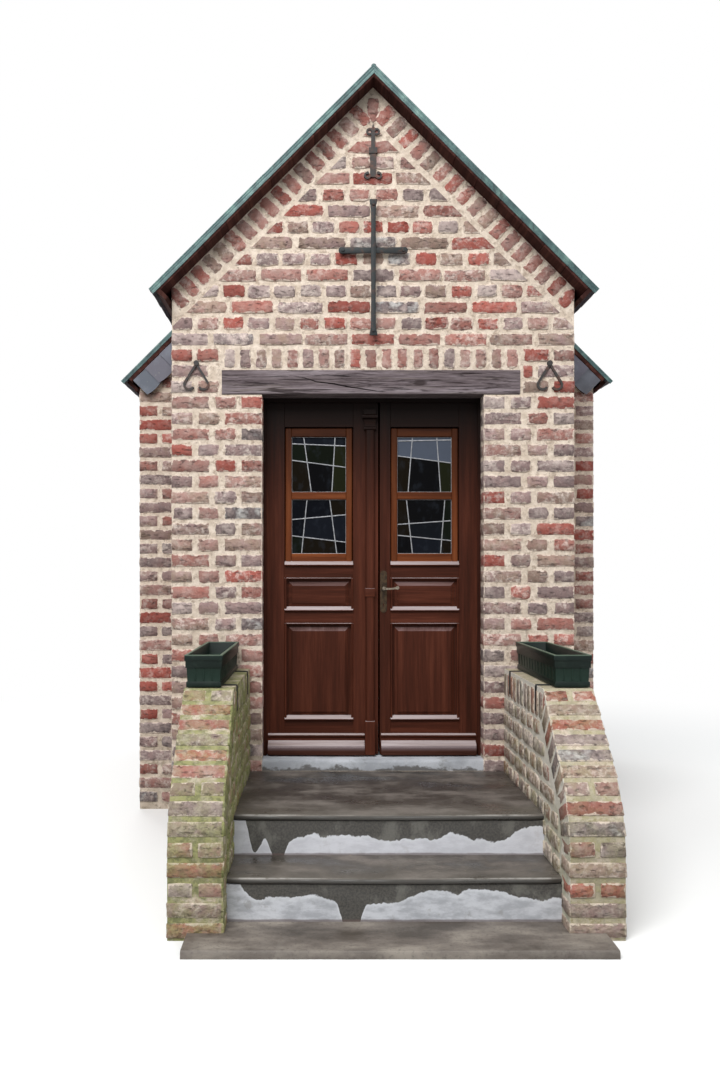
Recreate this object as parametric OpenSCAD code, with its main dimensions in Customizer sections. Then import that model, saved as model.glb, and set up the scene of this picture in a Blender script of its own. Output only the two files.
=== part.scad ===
// Wayside shrine: a small brick chapel with a gabled front, panelled double doors and a stair
// between two swept cheek walls. The gabled front is narrower than the chapel behind it, and one
// pair of roof slopes covers both.
// X runs to the right, the front faces -Y, Z is up. The origin is on the ground, under the middle
// of the plan. Distances in front of or behind the front wall are measured from its outer face.

/* [Walls] */
// Width of the gabled front wall
front_w = 2010; // [1960:10:2060]
// Thickness of every brick wall
wall_t = 250; // [230:5:280]
// Height of the brick apex of the gable
apex_z = 3780; // [3740:10:3860]
// Width of the chapel behind the gabled front
nave_w = 2600; // [2500:10:2700]
// Distance from the front wall's face back to the wider chapel
shoulder_back = 700; // [660:10:760]
// Distance from the front wall's face back to the outside of the back wall
nave_back = 2670; // [2500:10:2800]
// Thickness of the floor slab
floor_t = 150; // [100:10:200]

/* [Roof] */
// Pitch of the roof slopes in degrees
pitch = 45; // [43:1:47]
// Thickness of the roof boards
board_t = 24; // [18:1:28]
// Thickness of the slate covering
slate_t = 18; // [14:1:22]
// Thickness of the copper trims
trim_t = 4; // [3:1:5]
// How far the roof reaches past the front body's side walls
front_eave = 98; // [70:2:110]
// How far the roof reaches past the chapel's side walls
nave_eave = 100; // [80:2:120]
// How far the roof reaches in front of the gable
front_verge = 107; // [90:1:120]
// How far the wider roof reaches in front of the shoulder walls
nave_verge = 52; // [48:1:60]
// How far the roof reaches behind the back wall
rear_verge = 80; // [60:2:100]
// How far the slates hang over the ends of the boards at the eaves
slate_drip = 40; // [34:1:50]
// Depth of the trim's face at the gable, square to the slope
front_trim_h = 33; // [26:1:40]
// Depth of the trim's face on the wider roof, square to the slope
nave_trim_h = 23; // [18:1:30]
// Width of the trims where they lap on to the slates
trim_lap = 70; // [50:1:90]
// Width of each wing of the ridge cap
cap_w = 110; // [90:2:130]
// How far the tail of a slate course stands above the course below it
slate_step = 8; // [5:1:10]
// Depth of the slate-clad bargeboards below the roof boards
barge_h = 124; // [100:1:140]
// Thickness of the slate-clad bargeboards
barge_t = 38; // [30:1:42]
// Thickness of the boards under the eaves
fascia_t = 20; // [16:1:24]
// Clearance between the lower edge of those boards and the wall
fascia_clear = 3; // [2:1:6]

/* [Doorway] */
// Clear width between the brick reveals
door_w = 1110; // [1090:2:1130]
// Height of the threshold's top, and of the floor inside
threshold_z = 420; // [410:1:430]
// Thickness of the threshold
threshold_t = 58; // [50:1:60]
// Depth of the brick reveal in front of the door frame
reveal = 98; // [80:1:110]
// How much wider the wall opens behind the reveal, on each side
rebate = 45; // [40:1:55]
// Height of the underside of the oak lintel
lintel_z = 2244; // [2236:1:2260]
// Height of the oak lintel
lintel_h = 123; // [110:1:140]
// How far the oak lintel bears on the wall at each side of the doorway
lintel_bearing = 190; // [150:5:220]
// Sideways place of the oak lintel's middle
lintel_x = -10; // [-30:1:30]
// How far the oak lintel stands out of the wall
lintel_proud = 8; // [2:1:14]

/* [Door frame] */
// Width of the frame that shows beside each leaf
frame_show = 15; // [10:1:18]
// Width of the frame that shows above the leaves
head_show = 22; // [16:1:30]
// Thickness of the lip that the leaves close against
lip_t = 12; // [10:1:16]
// How far the lip laps over the edges of the leaves
lip_lap = 7; // [5:1:9]

/* [Door leaves] */
// Thickness of a leaf
leaf_t = 45; // [40:1:50]
// Gap round each leaf
leaf_gap = 5; // [5:0.5:7]
// Gap between the two leaves
meet_gap = 8; // [8:0.5:10]
// Sideways place of the gap between the leaves
meet_x = 37; // [34:1:38]
// Sideways distance from the doorway's middle to the middle of the panels and sashes
field_x = 271; // [268:1:274]
// Width of the panels and sashes
field_w = 350; // [340:1:356]
// Height of the large panel's lower edge
large_z = 601; // [595:1:607]
// Height of the large panel
large_h = 495; // [480:1:505]
// Height of the small panel's lower edge
small_z = 1158; // [1150:1:1164]
// Height of the small panel
small_h = 170; // [160:1:176]
// Height of the sash's lower edge
sash_z = 1390; // [1384:1:1400]
// Height of the sash
sash_h = 709; // [700:1:718]
// Width of the sash's stiles
sash_stile = 36; // [30:1:42]
// Height of the sash's bottom rail, with the ledge in front of it
sash_bottom = 62; // [56:1:68]
// Height of the sash's top rail
sash_top = 49; // [40:1:56]
// Height of the glazing bar across the sash
bar_h = 39; // [34:1:44]
// Height of the glass below the glazing bar
low_glass_h = 277; // [260:1:290]
// Thickness of the glass
glass_t = 6; // [4:1:8]
// Width and depth of the splay round each light
sash_splay = 6; // [3:1:8]
// How far the sash is set back from the leaf's face
sash_back = 8; // [6:1:10]
// How far a panel's margin is set back from the leaf's face
panel_back = 18; // [14:1:20]
// How far a panel's raised field is set back from the leaf's face
field_back = 6; // [4:1:9]
// Thickness of a panel's margin
panel_t = 20; // [16:1:22]
// Width of a panel's margin
panel_margin = 22; // [18:1:26]
// Width of the slope between a panel's margin and its raised field
panel_slope = 18; // [14:1:22]

/* [Mouldings] */
// Width of the bead round each panel
bead_w = 12; // [10:1:14]
// How far the bead and the ledges stand out of the leaf
bead_out = 8; // [6:1:10]
// Height of the ledge under each panel and sash
ledge_h = 20; // [16:1:24]
// How far the ledges stand out of the leaf
ledge_out = 12; // [10:1:14]
// How far the weather rail stands out of the leaf
rail_out = 40; // [34:1:42]
// Height of the weather rail's front face
rail_face = 40; // [34:1:46]
// Height of the whole weather rail
rail_h = 108; // [100:1:112]
// Sideways place of the middle of the post that covers the left leaf's edge
astragal_x = -10; // [-14:1:-8]
// Width of that post
astragal_w = 44; // [38:1:46]
// How far that post stands out of the leaf
astragal_out = 24; // [20:1:26]
// Radius of that post's rounded corners
astragal_round = 10; // [6:1:12]
// Width of the blocks on that post
block_w = 52; // [48:1:54]
// Width of that post's capital
capital_w = 80; // [74:1:80]
// Height of the capital's lower edge
capital_z = 2081; // [2074:1:2090]
// Height of the capital
capital_h = 106; // [100:1:110]

/* [Door furniture] */
// Radius of the hinge knuckles
knuckle_r = 8; // [7.5:0.5:9]
// Radius of the hinge pins
pin_r = 4; // [3:0.5:5]
// Height of one hinge
hinge_h = 90; // [80:1:110]
// Thickness of the hinge plates
hinge_plate_t = 3; // [2.5:0.5:4]
// Width of the hinge plates
hinge_plate_w = 45; // [38:1:47]
// Distance from a leaf's end to the middle of the hinge next to it
hinge_inset = 232; // [180:2:280]
// Sideways place of the lever's spindle
lever_x = 60; // [58:1:63]
// Height of the lever's spindle
lever_z = 1273; // [1265:1:1280]
// Radius of the lever's spindle
spindle_r = 8; // [7:0.5:9]
// Length of the lever's arm
lever_l = 68; // [60:1:76]
// Thickness of the lever's arm
lever_t = 12; // [9:1:14]
// Distance from the leaf's face to the middle of the lever's arm
lever_out = 46; // [40:1:48]
// Width of the handle plate
plate_w = 34; // [30:1:36]
// Height of the handle plate
plate_h = 215; // [200:1:230]
// Thickness of the handle plate
plate_t = 3; // [2:0.5:4]
// How far the handle plate reaches above the lever's spindle
plate_above = 92; // [80:1:100]
// Distance from the lever's spindle down to the keyhole
key_drop = 80; // [70:1:90]

/* [Stair] */
// Width of the stair between the cheek walls
stair_w = 1274; // [1240:2:1300]
// Sideways place of the stair's middle
stair_x = 20; // [0:1:30]
// Height of the flat slab at the foot
slab_h = 30; // [24:1:36]
// Width of the flat slab at the foot
slab_w = 1540; // [1500:10:1600]
// Distance from the front wall to the slab's front edge
slab_reach = 1431; // [1400:1:1480]
// Height of the lower tread's top
lower_z = 196; // [190:1:202]
// Height of the landing's top
landing_z = 362; // [352:1:362]
// Distance from the front wall to the lower tread's nosing
lower_reach = 1157; // [1140:1:1180]
// Distance from the front wall to the landing's nosing
landing_reach = 866; // [850:1:880]
// How far the treads stand out over the risers
nosing = 9; // [6:1:14]
// Thickness of the treads
tread_t = 26; // [20:1:34]

/* [Cheek walls] */
// Thickness of each cheek wall
cheek_w = 205; // [190:1:215]
// Height of the cheek walls' flat top
cheek_z = 874; // [850:1:900]
// How far the cheek walls' foot lies in front of the lower tread's nosing
cheek_lead = 105; // [90:1:120]
// Radius of the sweep at the cheek walls' front
sweep_r = 420; // [400:1:440]
// Height at which the sweep starts
sweep_z = 297; // [280:1:320]
// Fall of the straight run above the sweep, in degrees
sweep_fall = 43; // [41:1:45]
// Depth of the brick-on-edge coping
coping_t = 135; // [120:1:145]

/* [Flower boxes] */
// Length of a flower box
box_l = 780; // [700:5:790]
// Width of a flower box over its rim
box_w = 158; // [150:1:166]
// Height of a flower box
box_h = 134; // [125:1:145]
// Thickness of a flower box's walls
box_wall = 4; // [3:0.5:6]
// Distance from the front wall to a flower box
box_start = 40; // [30:1:60]
// How far a flower box sits towards the outside of its cheek wall
box_shift = 25; // [15:1:30]
// Width of the straps that carry the flower boxes
strap_w = 25; // [20:1:30]
// Thickness of the straps
strap_t = 4; // [3:0.5:5]
// Length of the straps' legs
strap_leg = 110; // [90:1:130]

/* [Ironwork] */
// Height of the wall cross
cross_h = 675; // [640:5:700]
// Width of the wall cross
cross_w = 345; // [330:5:370]
// Height of the lower end of the wall cross
cross_z = 2530; // [2520:1:2550]
// Height of the cross's arms above its lower end
cross_arm = 425; // [400:5:450]
// Width of the cross's upright bar
cross_bar = 26; // [22:1:32]
// Width of the upright bar at its flared ends
cross_flare = 40; // [34:1:46]
// Height of the cross's arms
cross_arm_bar = 36; // [30:1:40]
// Thickness of the cross's bars
cross_bar_t = 12; // [10:1:14]
// Distance from the wall to the back of the cross
cross_stand = 22; // [16:1:28]
// Height of the lower end of the gable anchor
gable_anchor_z = 3317; // [3310:1:3330]
// Height of the gable anchor
gable_anchor_h = 285; // [270:1:300]
// Distance from the lintel's end to the middle of a side anchor
anchor_gap = 137; // [115:1:155]
// Height of the lower end of the side anchors
side_anchor_z = 2262; // [2255:1:2275]
// Thickness of the anchors' bars
anchor_t = 14; // [10:1:18]

/* [Hidden] */
$fn = 48;

// A length larger than the whole building, for cutting planes
far = 6000;
// A small step past a face that is being cut
eps = 1;
// Clearance of a pin in its bore
bore_clear = 0.05;
// Clearance between hinge knuckles, and behind the spindle
end_clear = 0.3;
// Clearance between the roof boards and the tops of the walls, and between slates and copper
seat_clear = 0.05;

// Plan of the whole part, centred on the origin
cheek_reach = lower_reach + cheek_lead;
back_reach = nave_back + rear_verge;
front_y = (slab_reach - back_reach) / 2;
half_front = front_w / 2;
half_nave = nave_w / 2;
half_door = door_w / 2;
half_back_door = half_door + rebate;

// Roof build-up, measured down from the trims' top and square to the slope
slate_top = trim_t;
board_top = slate_top + slate_t;
board_under = board_top + board_t;
ridge_z = apex_z + (board_under + seat_clear) / cos(pitch);
front_u = (half_front + front_eave) / cos(pitch);
nave_u = (half_nave + nave_eave) / cos(pitch);
front_board_u = front_u - slate_drip;
nave_board_u = nave_u - slate_drip;
roof_front_y = front_y - front_verge;
nave_front_y = front_y + shoulder_back - nave_verge;
roof_back_y = front_y + back_reach;

// Three slate courses lie between the eaves of the gabled front and those of the chapel
slate_course = (nave_u - front_u) / 3;

// Doorway levels and planes
lintel_w = door_w + 2 * lintel_bearing;
lintel_top = lintel_z + lintel_h;
frame_top = lintel_z + rebate;
lip_half = half_door - frame_show;
lip_top = lintel_z - head_show;
lip_y = front_y + reveal;
stop_y = lip_y + lip_t;
leaf_y = stop_y + leaf_gap;
leaf_in_y = leaf_y + leaf_t;
leaf_half = lip_half + lip_lap;
stile_half = leaf_half + leaf_gap;
leaf_top = lip_top + lip_lap;
head_under = leaf_top + leaf_gap;
leaf_low = threshold_z + leaf_gap;
right_meet = meet_x + meet_gap / 2;
left_meet = meet_x - meet_gap / 2;

// Hinge axes: on the inner face of the frame, over the gap beside the leaf
axis_x = (leaf_half + stile_half) / 2;
axis_y = leaf_in_y + knuckle_r;
hinge_z = [for (k = [0 : 2]) leaf_low + hinge_inset + k * (leaf_top - leaf_low - 2 * hinge_inset) / 2];

// Cheek walls
cheek_x = stair_w / 2 + cheek_w / 2;
box_x = cheek_x + box_shift;
box_y = front_y - box_start - box_l / 2;
strap_spots = [-0.36 * box_l, 0.36 * box_l];

// Height of the roof's underside over a place beside the middle
function seat_z(x) = apex_z - abs(x) * tan(pitch);

// Points of an arc, from angle a0 to angle a1
function arc(cx, cy, r, a0, a1, n) =
    [for (k = [0 : n]) [cx + r * cos(a0 + (a1 - a0) * k / n), cy + r * sin(a0 + (a1 - a0) * k / n)]];

// A block from its lowest to its highest corner
module block(low, high) {
    translate(low) cube(high - low);
}

// An outline in X and Z, drawn out along Y
module along_y(y0, y1) {
    translate([0, y1, 0]) rotate([90, 0, 0]) linear_extrude(y1 - y0) children();
}

// An outline in Y and Z, drawn out along X
module along_x(x0, x1) {
    translate([x0, 0, 0]) rotate([90, 0, 90]) linear_extrude(x1 - x0) children();
}

// The same piece on the left and on the right
module both_sides() {
    children();
    mirror([1, 0, 0]) children();
}

// Masonry

module bottom_slab() {
    color("gray") {
        block([stair_x - slab_w / 2, front_y - slab_reach, 0],
              [stair_x + slab_w / 2, front_y - cheek_reach, slab_h]);
        block([stair_x - stair_w / 2, front_y - cheek_reach - eps, 0],
              [stair_x + stair_w / 2, front_y - lower_reach + nosing, slab_h]);
    }
}

module step_masonry() {
    lower_riser = front_y - lower_reach + nosing;
    upper_riser = front_y - landing_reach + nosing;
    color("whitesmoke") along_x(stair_x - stair_w / 2, stair_x + stair_w / 2) polygon([
        [front_y, 0], [lower_riser, 0], [lower_riser, lower_z - tread_t],
        [upper_riser, lower_z - tread_t], [upper_riser, landing_z - tread_t],
        [front_y, landing_z - tread_t]]);
}

// Two stone treads with a rounded nosing
module tread(reach, top, back) {
    r = tread_t / 2;
    block([stair_x - stair_w / 2, front_y - reach + r, top - tread_t],
          [stair_x + stair_w / 2, back, top]);
    translate([stair_x - stair_w / 2, front_y - reach + r, top - r]) rotate([0, 90, 0])
        cylinder(r = r, h = stair_w);
}

module stair_treads() {
    color("dimgray") {
        tread(lower_reach, lower_z, front_y - landing_reach + nosing);
        tread(landing_reach, landing_z, front_y);
    }
}

// Side outline of a cheek wall, drawn in by a depth from its top and front
module cheek_outline(inset) {
    r = sweep_r - inset;
    mid = cheek_reach - sweep_r;
    top = cheek_z - inset;
    turn_a = 90 - sweep_fall;
    shoulder = mid + r * cos(turn_a) - (top - sweep_z - r * sin(turn_a)) / tan(sweep_fall);
    polygon(concat([[0, 0], [0, top], [shoulder, top]], arc(mid, sweep_z, r, turn_a, 0, 14),
        [[mid + r, 0]]));
}

// A slice of a cheek wall about a sideways place
module cheek(x, w, inset) {
    translate([x + w / 2, front_y, 0]) rotate([90, 0, -90]) linear_extrude(w) cheek_outline(inset);
}

module cheek_walls() {
    color("rosybrown") for (side = [-1, 1]) cheek(stair_x + side * cheek_x, cheek_w, coping_t);
}

module cheek_copings() {
    color("tan") for (side = [-1, 1]) difference() {
        cheek(stair_x + side * cheek_x, cheek_w, 0);
        cheek(stair_x + side * cheek_x, cheek_w + 2 * eps, coping_t);
    }
}

// Plan of the doorway through the front wall, wider behind the reveal
module doorway_plan() {
    polygon([
        [-half_door, front_y], [half_door, front_y], [half_door, lip_y],
        [half_back_door, lip_y], [half_back_door, front_y + wall_t],
        [-half_back_door, front_y + wall_t], [-half_back_door, lip_y], [-half_door, lip_y]]);
}

module doorway_base() {
    color("rosybrown") linear_extrude(threshold_z - threshold_t) doorway_plan();
}

module threshold() {
    color("lightgray") translate([0, 0, threshold_z - threshold_t]) linear_extrude(threshold_t)
        doorway_plan();
}

module front_pier() {
    linear_extrude(lintel_z) polygon([
        [half_door, front_y], [half_front, front_y], [half_front, front_y + wall_t],
        [half_back_door, front_y + wall_t], [half_back_door, lip_y], [half_door, lip_y]]);
}

module front_wall_left() {
    color("indianred") mirror([1, 0, 0]) front_pier();
}

module front_wall_right() {
    color("indianred") front_pier();
}

module front_gable() {
    left_end = lintel_x - lintel_w / 2;
    right_end = lintel_x + lintel_w / 2;
    color("indianred") along_y(front_y, front_y + wall_t) polygon([
        [-half_front, lintel_z], [left_end, lintel_z], [left_end, lintel_top],
        [right_end, lintel_top], [right_end, lintel_z], [half_front, lintel_z],
        [half_front, seat_z(half_front)], [0, apex_z], [-half_front, seat_z(half_front)]]);
}

module lintel_beam() {
    color("saddlebrown") difference() {
        block([lintel_x - lintel_w / 2, front_y - lintel_proud, lintel_z],
              [lintel_x + lintel_w / 2, front_y + wall_t, lintel_top]);
        block([-half_back_door, lip_y, lintel_z - eps],
              [half_back_door, front_y + wall_t + eps, frame_top]);
    }
}

// A wall between two distances from the middle, cut to the roof slope
module sloped_wall(x_in, x_out, back0, back1) {
    along_y(front_y + back0, front_y + back1) polygon([
        [x_in, 0], [x_out, 0], [x_out, seat_z(x_out)], [x_in, seat_z(x_in)]]);
}

module side_walls() {
    color("indianred") both_sides()
        sloped_wall(half_front - wall_t, half_front, wall_t, shoulder_back);
}

module shoulder_walls() {
    color("brown") both_sides()
        sloped_wall(half_front - wall_t, half_nave, shoulder_back, shoulder_back + wall_t);
}

module nave_walls() {
    color("indianred") both_sides()
        sloped_wall(half_nave - wall_t, half_nave, shoulder_back + wall_t, nave_back - wall_t);
}

module back_wall() {
    color("brown") along_y(front_y + nave_back - wall_t, front_y + nave_back) polygon([
        [-half_nave, 0], [half_nave, 0], [half_nave, seat_z(half_nave)], [0, apex_z],
        [-half_nave, seat_z(half_nave)]]);
}

module floor_slab() {
    narrow = half_front - wall_t;
    wide = half_nave - wall_t;
    step_y = front_y + shoulder_back + wall_t;
    color("darkgray") translate([0, 0, threshold_z - floor_t]) linear_extrude(floor_t) polygon([
        [-narrow, front_y + wall_t], [narrow, front_y + wall_t], [narrow, step_y],
        [wide, step_y], [wide, front_y + nave_back - wall_t],
        [-wide, front_y + nave_back - wall_t], [-wide, step_y], [-narrow, step_y]]);
}

// Doors

module door_frame() {
    color("maroon") difference() {
        block([-half_back_door, lip_y, threshold_z], [half_back_door, leaf_in_y, frame_top]);
        block([-lip_half, lip_y - eps, threshold_z - eps], [lip_half, leaf_in_y + eps, lip_top]);
        block([-stile_half, stop_y, threshold_z - eps], [stile_half, leaf_in_y + eps, head_under]);
    }
}

module field_hole(z, h) {
    block([field_x - field_w / 2, leaf_y - eps, z], [field_x + field_w / 2, leaf_in_y + eps, z + h]);
}

// The stiles and rails of a leaf, drawn as the right one
module leaf_frame(meet) {
    color("maroon") difference() {
        block([meet, leaf_y, leaf_low], [leaf_half, leaf_in_y, leaf_top]);
        field_hole(large_z, large_h);
        field_hole(small_z, small_h);
        field_hole(sash_z, sash_h);
    }
}

// A raised and fielded panel: a margin, and a field with four sloping sides
module raised_panel(z, h) {
    x0 = field_x - field_w / 2;
    x1 = field_x + field_w / 2;
    m_y = leaf_y + panel_back;
    f_y = leaf_y + field_back;
    foot = panel_margin;
    head = panel_margin + panel_slope;
    block([x0, m_y, z], [x1, m_y + panel_t, z + h]);
    intersection() {
        along_x(x0, x1) polygon([
            [m_y + eps, z + foot], [m_y, z + foot], [f_y, z + head], [f_y, z + h - head],
            [m_y, z + h - foot], [m_y + eps, z + h - foot]]);
        translate([0, 0, z]) linear_extrude(h) polygon([
            [x0 + foot, m_y + eps], [x0 + foot, m_y], [x0 + head, f_y], [x1 - head, f_y],
            [x1 - foot, m_y], [x1 - foot, m_y + eps]]);
    }
}

module leaf_panels() {
    color("brown") {
        raised_panel(large_z, large_h);
        raised_panel(small_z, small_h);
    }
}

// A bead round three sides of a panel, with a sloping ledge below
module panel_trim(z, h) {
    x0 = field_x - field_w / 2;
    x1 = field_x + field_w / 2;
    difference() {
        block([x0, leaf_y - bead_out, z], [x1, leaf_y + field_back, z + h]);
        block([x0 + bead_w, leaf_y - bead_out - eps, z - eps],
              [x1 - bead_w, leaf_y + field_back + eps, z + h - bead_w]);
    }
    ledge(z);
}

module ledge(z) {
    along_x(field_x - field_w / 2, field_x + field_w / 2) polygon([
        [leaf_y + field_back, z], [leaf_y - ledge_out, z], [leaf_y - ledge_out, z + ledge_h * 0.4],
        [leaf_y + field_back, z + ledge_h]]);
}

// The weather rail at the foot of a leaf: a rounded nose, a cove and a bead
module weather_rail(x0, x1) {
    nose_r = rail_out * 0.6;
    low = leaf_low;
    along_x(x0, x1) polygon(concat(
        [[leaf_y, low], [leaf_y - rail_out, low], [leaf_y - rail_out, low + rail_face]],
        arc(leaf_y - rail_out + nose_r, low + rail_face, nose_r, 170, 90, 6),
        [[leaf_y - bead_out, low + rail_face + nose_r + 8],
         [leaf_y - bead_out, low + rail_h - 18]],
        arc(leaf_y - bead_out, low + rail_h - 10, 8, 270, 90, 6),
        [[leaf_y, low + rail_h]]));
}

module leaf_mouldings(rail_x0) {
    color("firebrick") {
        panel_trim(large_z, large_h);
        panel_trim(small_z, small_h);
        ledge(sash_z);
        weather_rail(rail_x0, lip_half - 10);
    }
}

// An opening through the sash for one light, splayed on the outside
module light_hole(x0, x1, y0, z0, z1) {
    block([x0, y0, z0], [x1, leaf_in_y + eps, z1]);
    intersection() {
        along_x(x0 - sash_splay, x1 + sash_splay) polygon([
            [y0 - eps, z0 - sash_splay], [y0, z0 - sash_splay], [y0 + sash_splay, z0],
            [y0 + sash_splay, z1], [y0, z1 + sash_splay], [y0 - eps, z1 + sash_splay]]);
        translate([0, 0, z0 - sash_splay]) linear_extrude(z1 - z0 + 2 * sash_splay) polygon([
            [x0 - sash_splay, y0 - eps], [x1 + sash_splay, y0 - eps], [x1 + sash_splay, y0],
            [x1, y0 + sash_splay], [x0, y0 + sash_splay], [x0 - sash_splay, y0]]);
    }
}

module sash() {
    x0 = field_x - field_w / 2;
    x1 = field_x + field_w / 2;
    y0 = leaf_y + sash_back;
    bar_z = sash_z + sash_bottom + low_glass_h;
    color("peru") difference() {
        block([x0, y0, sash_z], [x1, leaf_in_y, sash_z + sash_h]);
        light_hole(x0 + sash_stile, x1 - sash_stile, y0, sash_z + sash_bottom, bar_z);
        light_hole(x0 + sash_stile, x1 - sash_stile, y0, bar_z + bar_h, sash_z + sash_h - sash_top);
    }
}

module glass_panes() {
    x0 = field_x - field_w / 2 + sash_stile;
    x1 = field_x + field_w / 2 - sash_stile;
    y0 = leaf_y + leaf_t / 2 - glass_t / 2;
    bar_z = sash_z + sash_bottom + low_glass_h;
    color("lightblue") {
        block([x0, y0, sash_z + sash_bottom], [x1, y0 + glass_t, bar_z]);
        block([x0, y0, bar_z + bar_h], [x1, y0 + glass_t, sash_z + sash_h - sash_top]);
    }
}

module left_leaf() {
    mirror([1, 0, 0]) leaf_frame(-left_meet);
}

module right_leaf() {
    leaf_frame(right_meet);
}

module left_panels() {
    mirror([1, 0, 0]) leaf_panels();
}

module right_panels() {
    leaf_panels();
}

module left_mouldings() {
    mirror([1, 0, 0]) leaf_mouldings(-(astragal_x - block_w / 2) + 2);
}

module right_mouldings() {
    leaf_mouldings(right_meet + 6);
}

module left_sash() {
    mirror([1, 0, 0]) sash();
}

module right_sash() {
    sash();
}

module left_glass() {
    mirror([1, 0, 0]) glass_panes();
}

module right_glass() {
    glass_panes();
}

// The post on the left leaf that covers the gap, with a base, a middle block and a capital
module astragal() {
    base_top = large_z - 4;
    mid_z = lever_z - 42;
    mid_h = 43;
    half = astragal_w / 2;
    color("maroon") translate([astragal_x, leaf_y, 0]) {
        translate([0, 0, base_top]) linear_extrude(capital_z - base_top) polygon(concat(
            [[-half, 0]],
            arc(astragal_round - half, astragal_round - astragal_out, astragal_round, 180, 270, 5),
            arc(half - astragal_round, astragal_round - astragal_out, astragal_round, 270, 360, 5),
            [[half, 0]]));
        block([-block_w / 2, -rail_out, leaf_low], [block_w / 2, 0, base_top]);
        block([-block_w / 2, -astragal_out - 4, mid_z], [block_w / 2, 0, mid_z + mid_h]);
        capital();
    }
}

// Edge of the capital from its foot up: a round, a fillet, a hollow, a wider round and a flat cap
function capital_edge(reach) = concat(
    arc(reach - 17, capital_z + 9, 9, -90, 90, 6),
    [[reach - 9, capital_z + 18], [reach - 9, capital_z + 26]],
    arc(reach + 62, capital_z + 26, 75, 180, 158, 4),
    arc(reach - 12.5, capital_z + 69, 12.5, -90, 90, 6),
    [[reach - 9, capital_z + 81.5], [reach - 9, capital_z + capital_h]]);

// The capital's mouldings run round three sides and are mitred at the corners
module capital() {
    half = capital_w / 2;
    out = astragal_out + 4;
    side = capital_edge(half);
    front = capital_edge(out);
    intersection() {
        along_y(-out, 0) polygon(concat(
            side, [for (k = [len(side) - 1 : -1 : 0]) [-side[k][0], side[k][1]]]));
        along_x(-half, half) polygon(concat(
            [[0, capital_z]], [for (point = front) [-point[0], point[1]]], [[0, capital_z + capital_h]]));
    }
}

// Door furniture

// The half of a hinge on the frame: plate, lower knuckle and pin, on the right side
module frame_hinge() {
    half = hinge_h / 2;
    plate_out = axis_x + hinge_plate_w;
    block([axis_x + knuckle_r + eps, leaf_in_y, -half], [plate_out, leaf_in_y + hinge_plate_t, half]);
    block([axis_x, leaf_in_y, -half], [plate_out, leaf_in_y + hinge_plate_t, -end_clear]);
    translate([axis_x, axis_y, -half]) cylinder(r = knuckle_r, h = half - end_clear);
    translate([axis_x, axis_y, -half]) cylinder(r = pin_r, h = hinge_h);
}

// The half of a hinge on the leaf: plate and bored upper knuckle, on the right side
module leaf_hinge() {
    half = hinge_h / 2;
    plate_in = axis_x - hinge_plate_w;
    difference() {
        union() {
            block([plate_in, leaf_in_y, -half],
                  [axis_x - knuckle_r - eps, leaf_in_y + hinge_plate_t, half]);
            block([plate_in, leaf_in_y, end_clear], [axis_x, leaf_in_y + hinge_plate_t, half]);
            translate([axis_x, axis_y, end_clear]) cylinder(r = knuckle_r, h = half - end_clear);
        }
        translate([axis_x, axis_y, -half]) cylinder(r = pin_r + bore_clear, h = 2 * hinge_h);
    }
}

module frame_hinges() {
    color("dimgray") both_sides() for (z = hinge_z) translate([0, 0, z]) frame_hinge();
}

module right_leaf_hinges() {
    color("dimgray") for (z = hinge_z) translate([0, 0, z]) leaf_hinge();
}

module left_leaf_hinges() {
    mirror([1, 0, 0]) right_leaf_hinges();
}

module handle_plate() {
    plate_low = lever_z + plate_above - plate_h;
    round_r = plate_w / 2;
    key_z = lever_z - key_drop;
    color("darkgoldenrod") difference() {
        along_y(leaf_y - plate_t, leaf_y) union() {
            translate([lever_x - round_r, plate_low + round_r]) square([plate_w, plate_h - plate_w]);
            translate([lever_x, plate_low + round_r]) circle(r = round_r);
            translate([lever_x, plate_low + plate_h - round_r]) circle(r = round_r);
        }
        translate([lever_x, leaf_y + eps, lever_z]) rotate([90, 0, 0])
            cylinder(r = spindle_r + bore_clear, h = plate_t + 2 * eps);
        translate([lever_x, leaf_y + eps, key_z]) rotate([90, 0, 0])
            cylinder(r = 4, h = plate_t + 2 * eps);
        block([lever_x - 2, leaf_y - plate_t - eps, key_z - 14], [lever_x + 2, leaf_y + eps, key_z]);
    }
}

// A turned spindle with a boss, and a gently waved arm with a round end
module door_lever() {
    steps = 8;
    end_r = 9;
    boss_r = 10;
    arm_y = leaf_y - lever_out;
    mid = [for (k = [0 : steps]) [lever_x + lever_l * k / steps,
        lever_z + 4 * k / steps - 3 * sin(180 * k / steps), 6 - 2 * sin(180 * k / steps)]];
    color("goldenrod") {
        translate([lever_x, leaf_y - end_clear, lever_z]) rotate([90, 0, 0]) rotate_extrude() polygon([
            [0, 0], [spindle_r, 0], [spindle_r, lever_out - 12], [boss_r, lever_out - 8],
            [boss_r, lever_out + 4], [boss_r - 4, lever_out + 8], [0, lever_out + 8]]);
        along_y(arm_y - lever_t / 2, arm_y + lever_t / 2) {
            polygon(concat([for (p = mid) [p[0], p[1] + p[2]]],
                [for (k = [steps : -1 : 0]) [mid[k][0], mid[k][1] - mid[k][2]]]));
            translate([mid[steps][0], mid[steps][1]]) circle(r = end_r);
        }
    }
}

// Roof

// Draws its children on the right slope: X down the slope, Z square to it, 0 at the trims' top
module on_slope() {
    translate([0, 0, ridge_z]) rotate([0, pitch, 0]) children();
}

// A flat piece on the right slope, cut upright at a distance from the middle
module slope_piece(u0, u1, y0, y1, top, under, cut_x) {
    intersection() {
        on_slope() block([u0, y0, -under], [u1, y1, -top]);
        block([cut_x, -far, 0], [far, far, far]);
    }
}

// A layer of the right slope: narrow over the gabled front, wide over the chapel behind
module slope_layer(u_front, u_nave, top, under) {
    slope_piece(0, u_front, roof_front_y + trim_t, roof_back_y - trim_t, top, under, 0);
    slope_piece(0, u_nave, nave_front_y + trim_t, roof_back_y - trim_t, top, under, 0);
}

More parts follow.
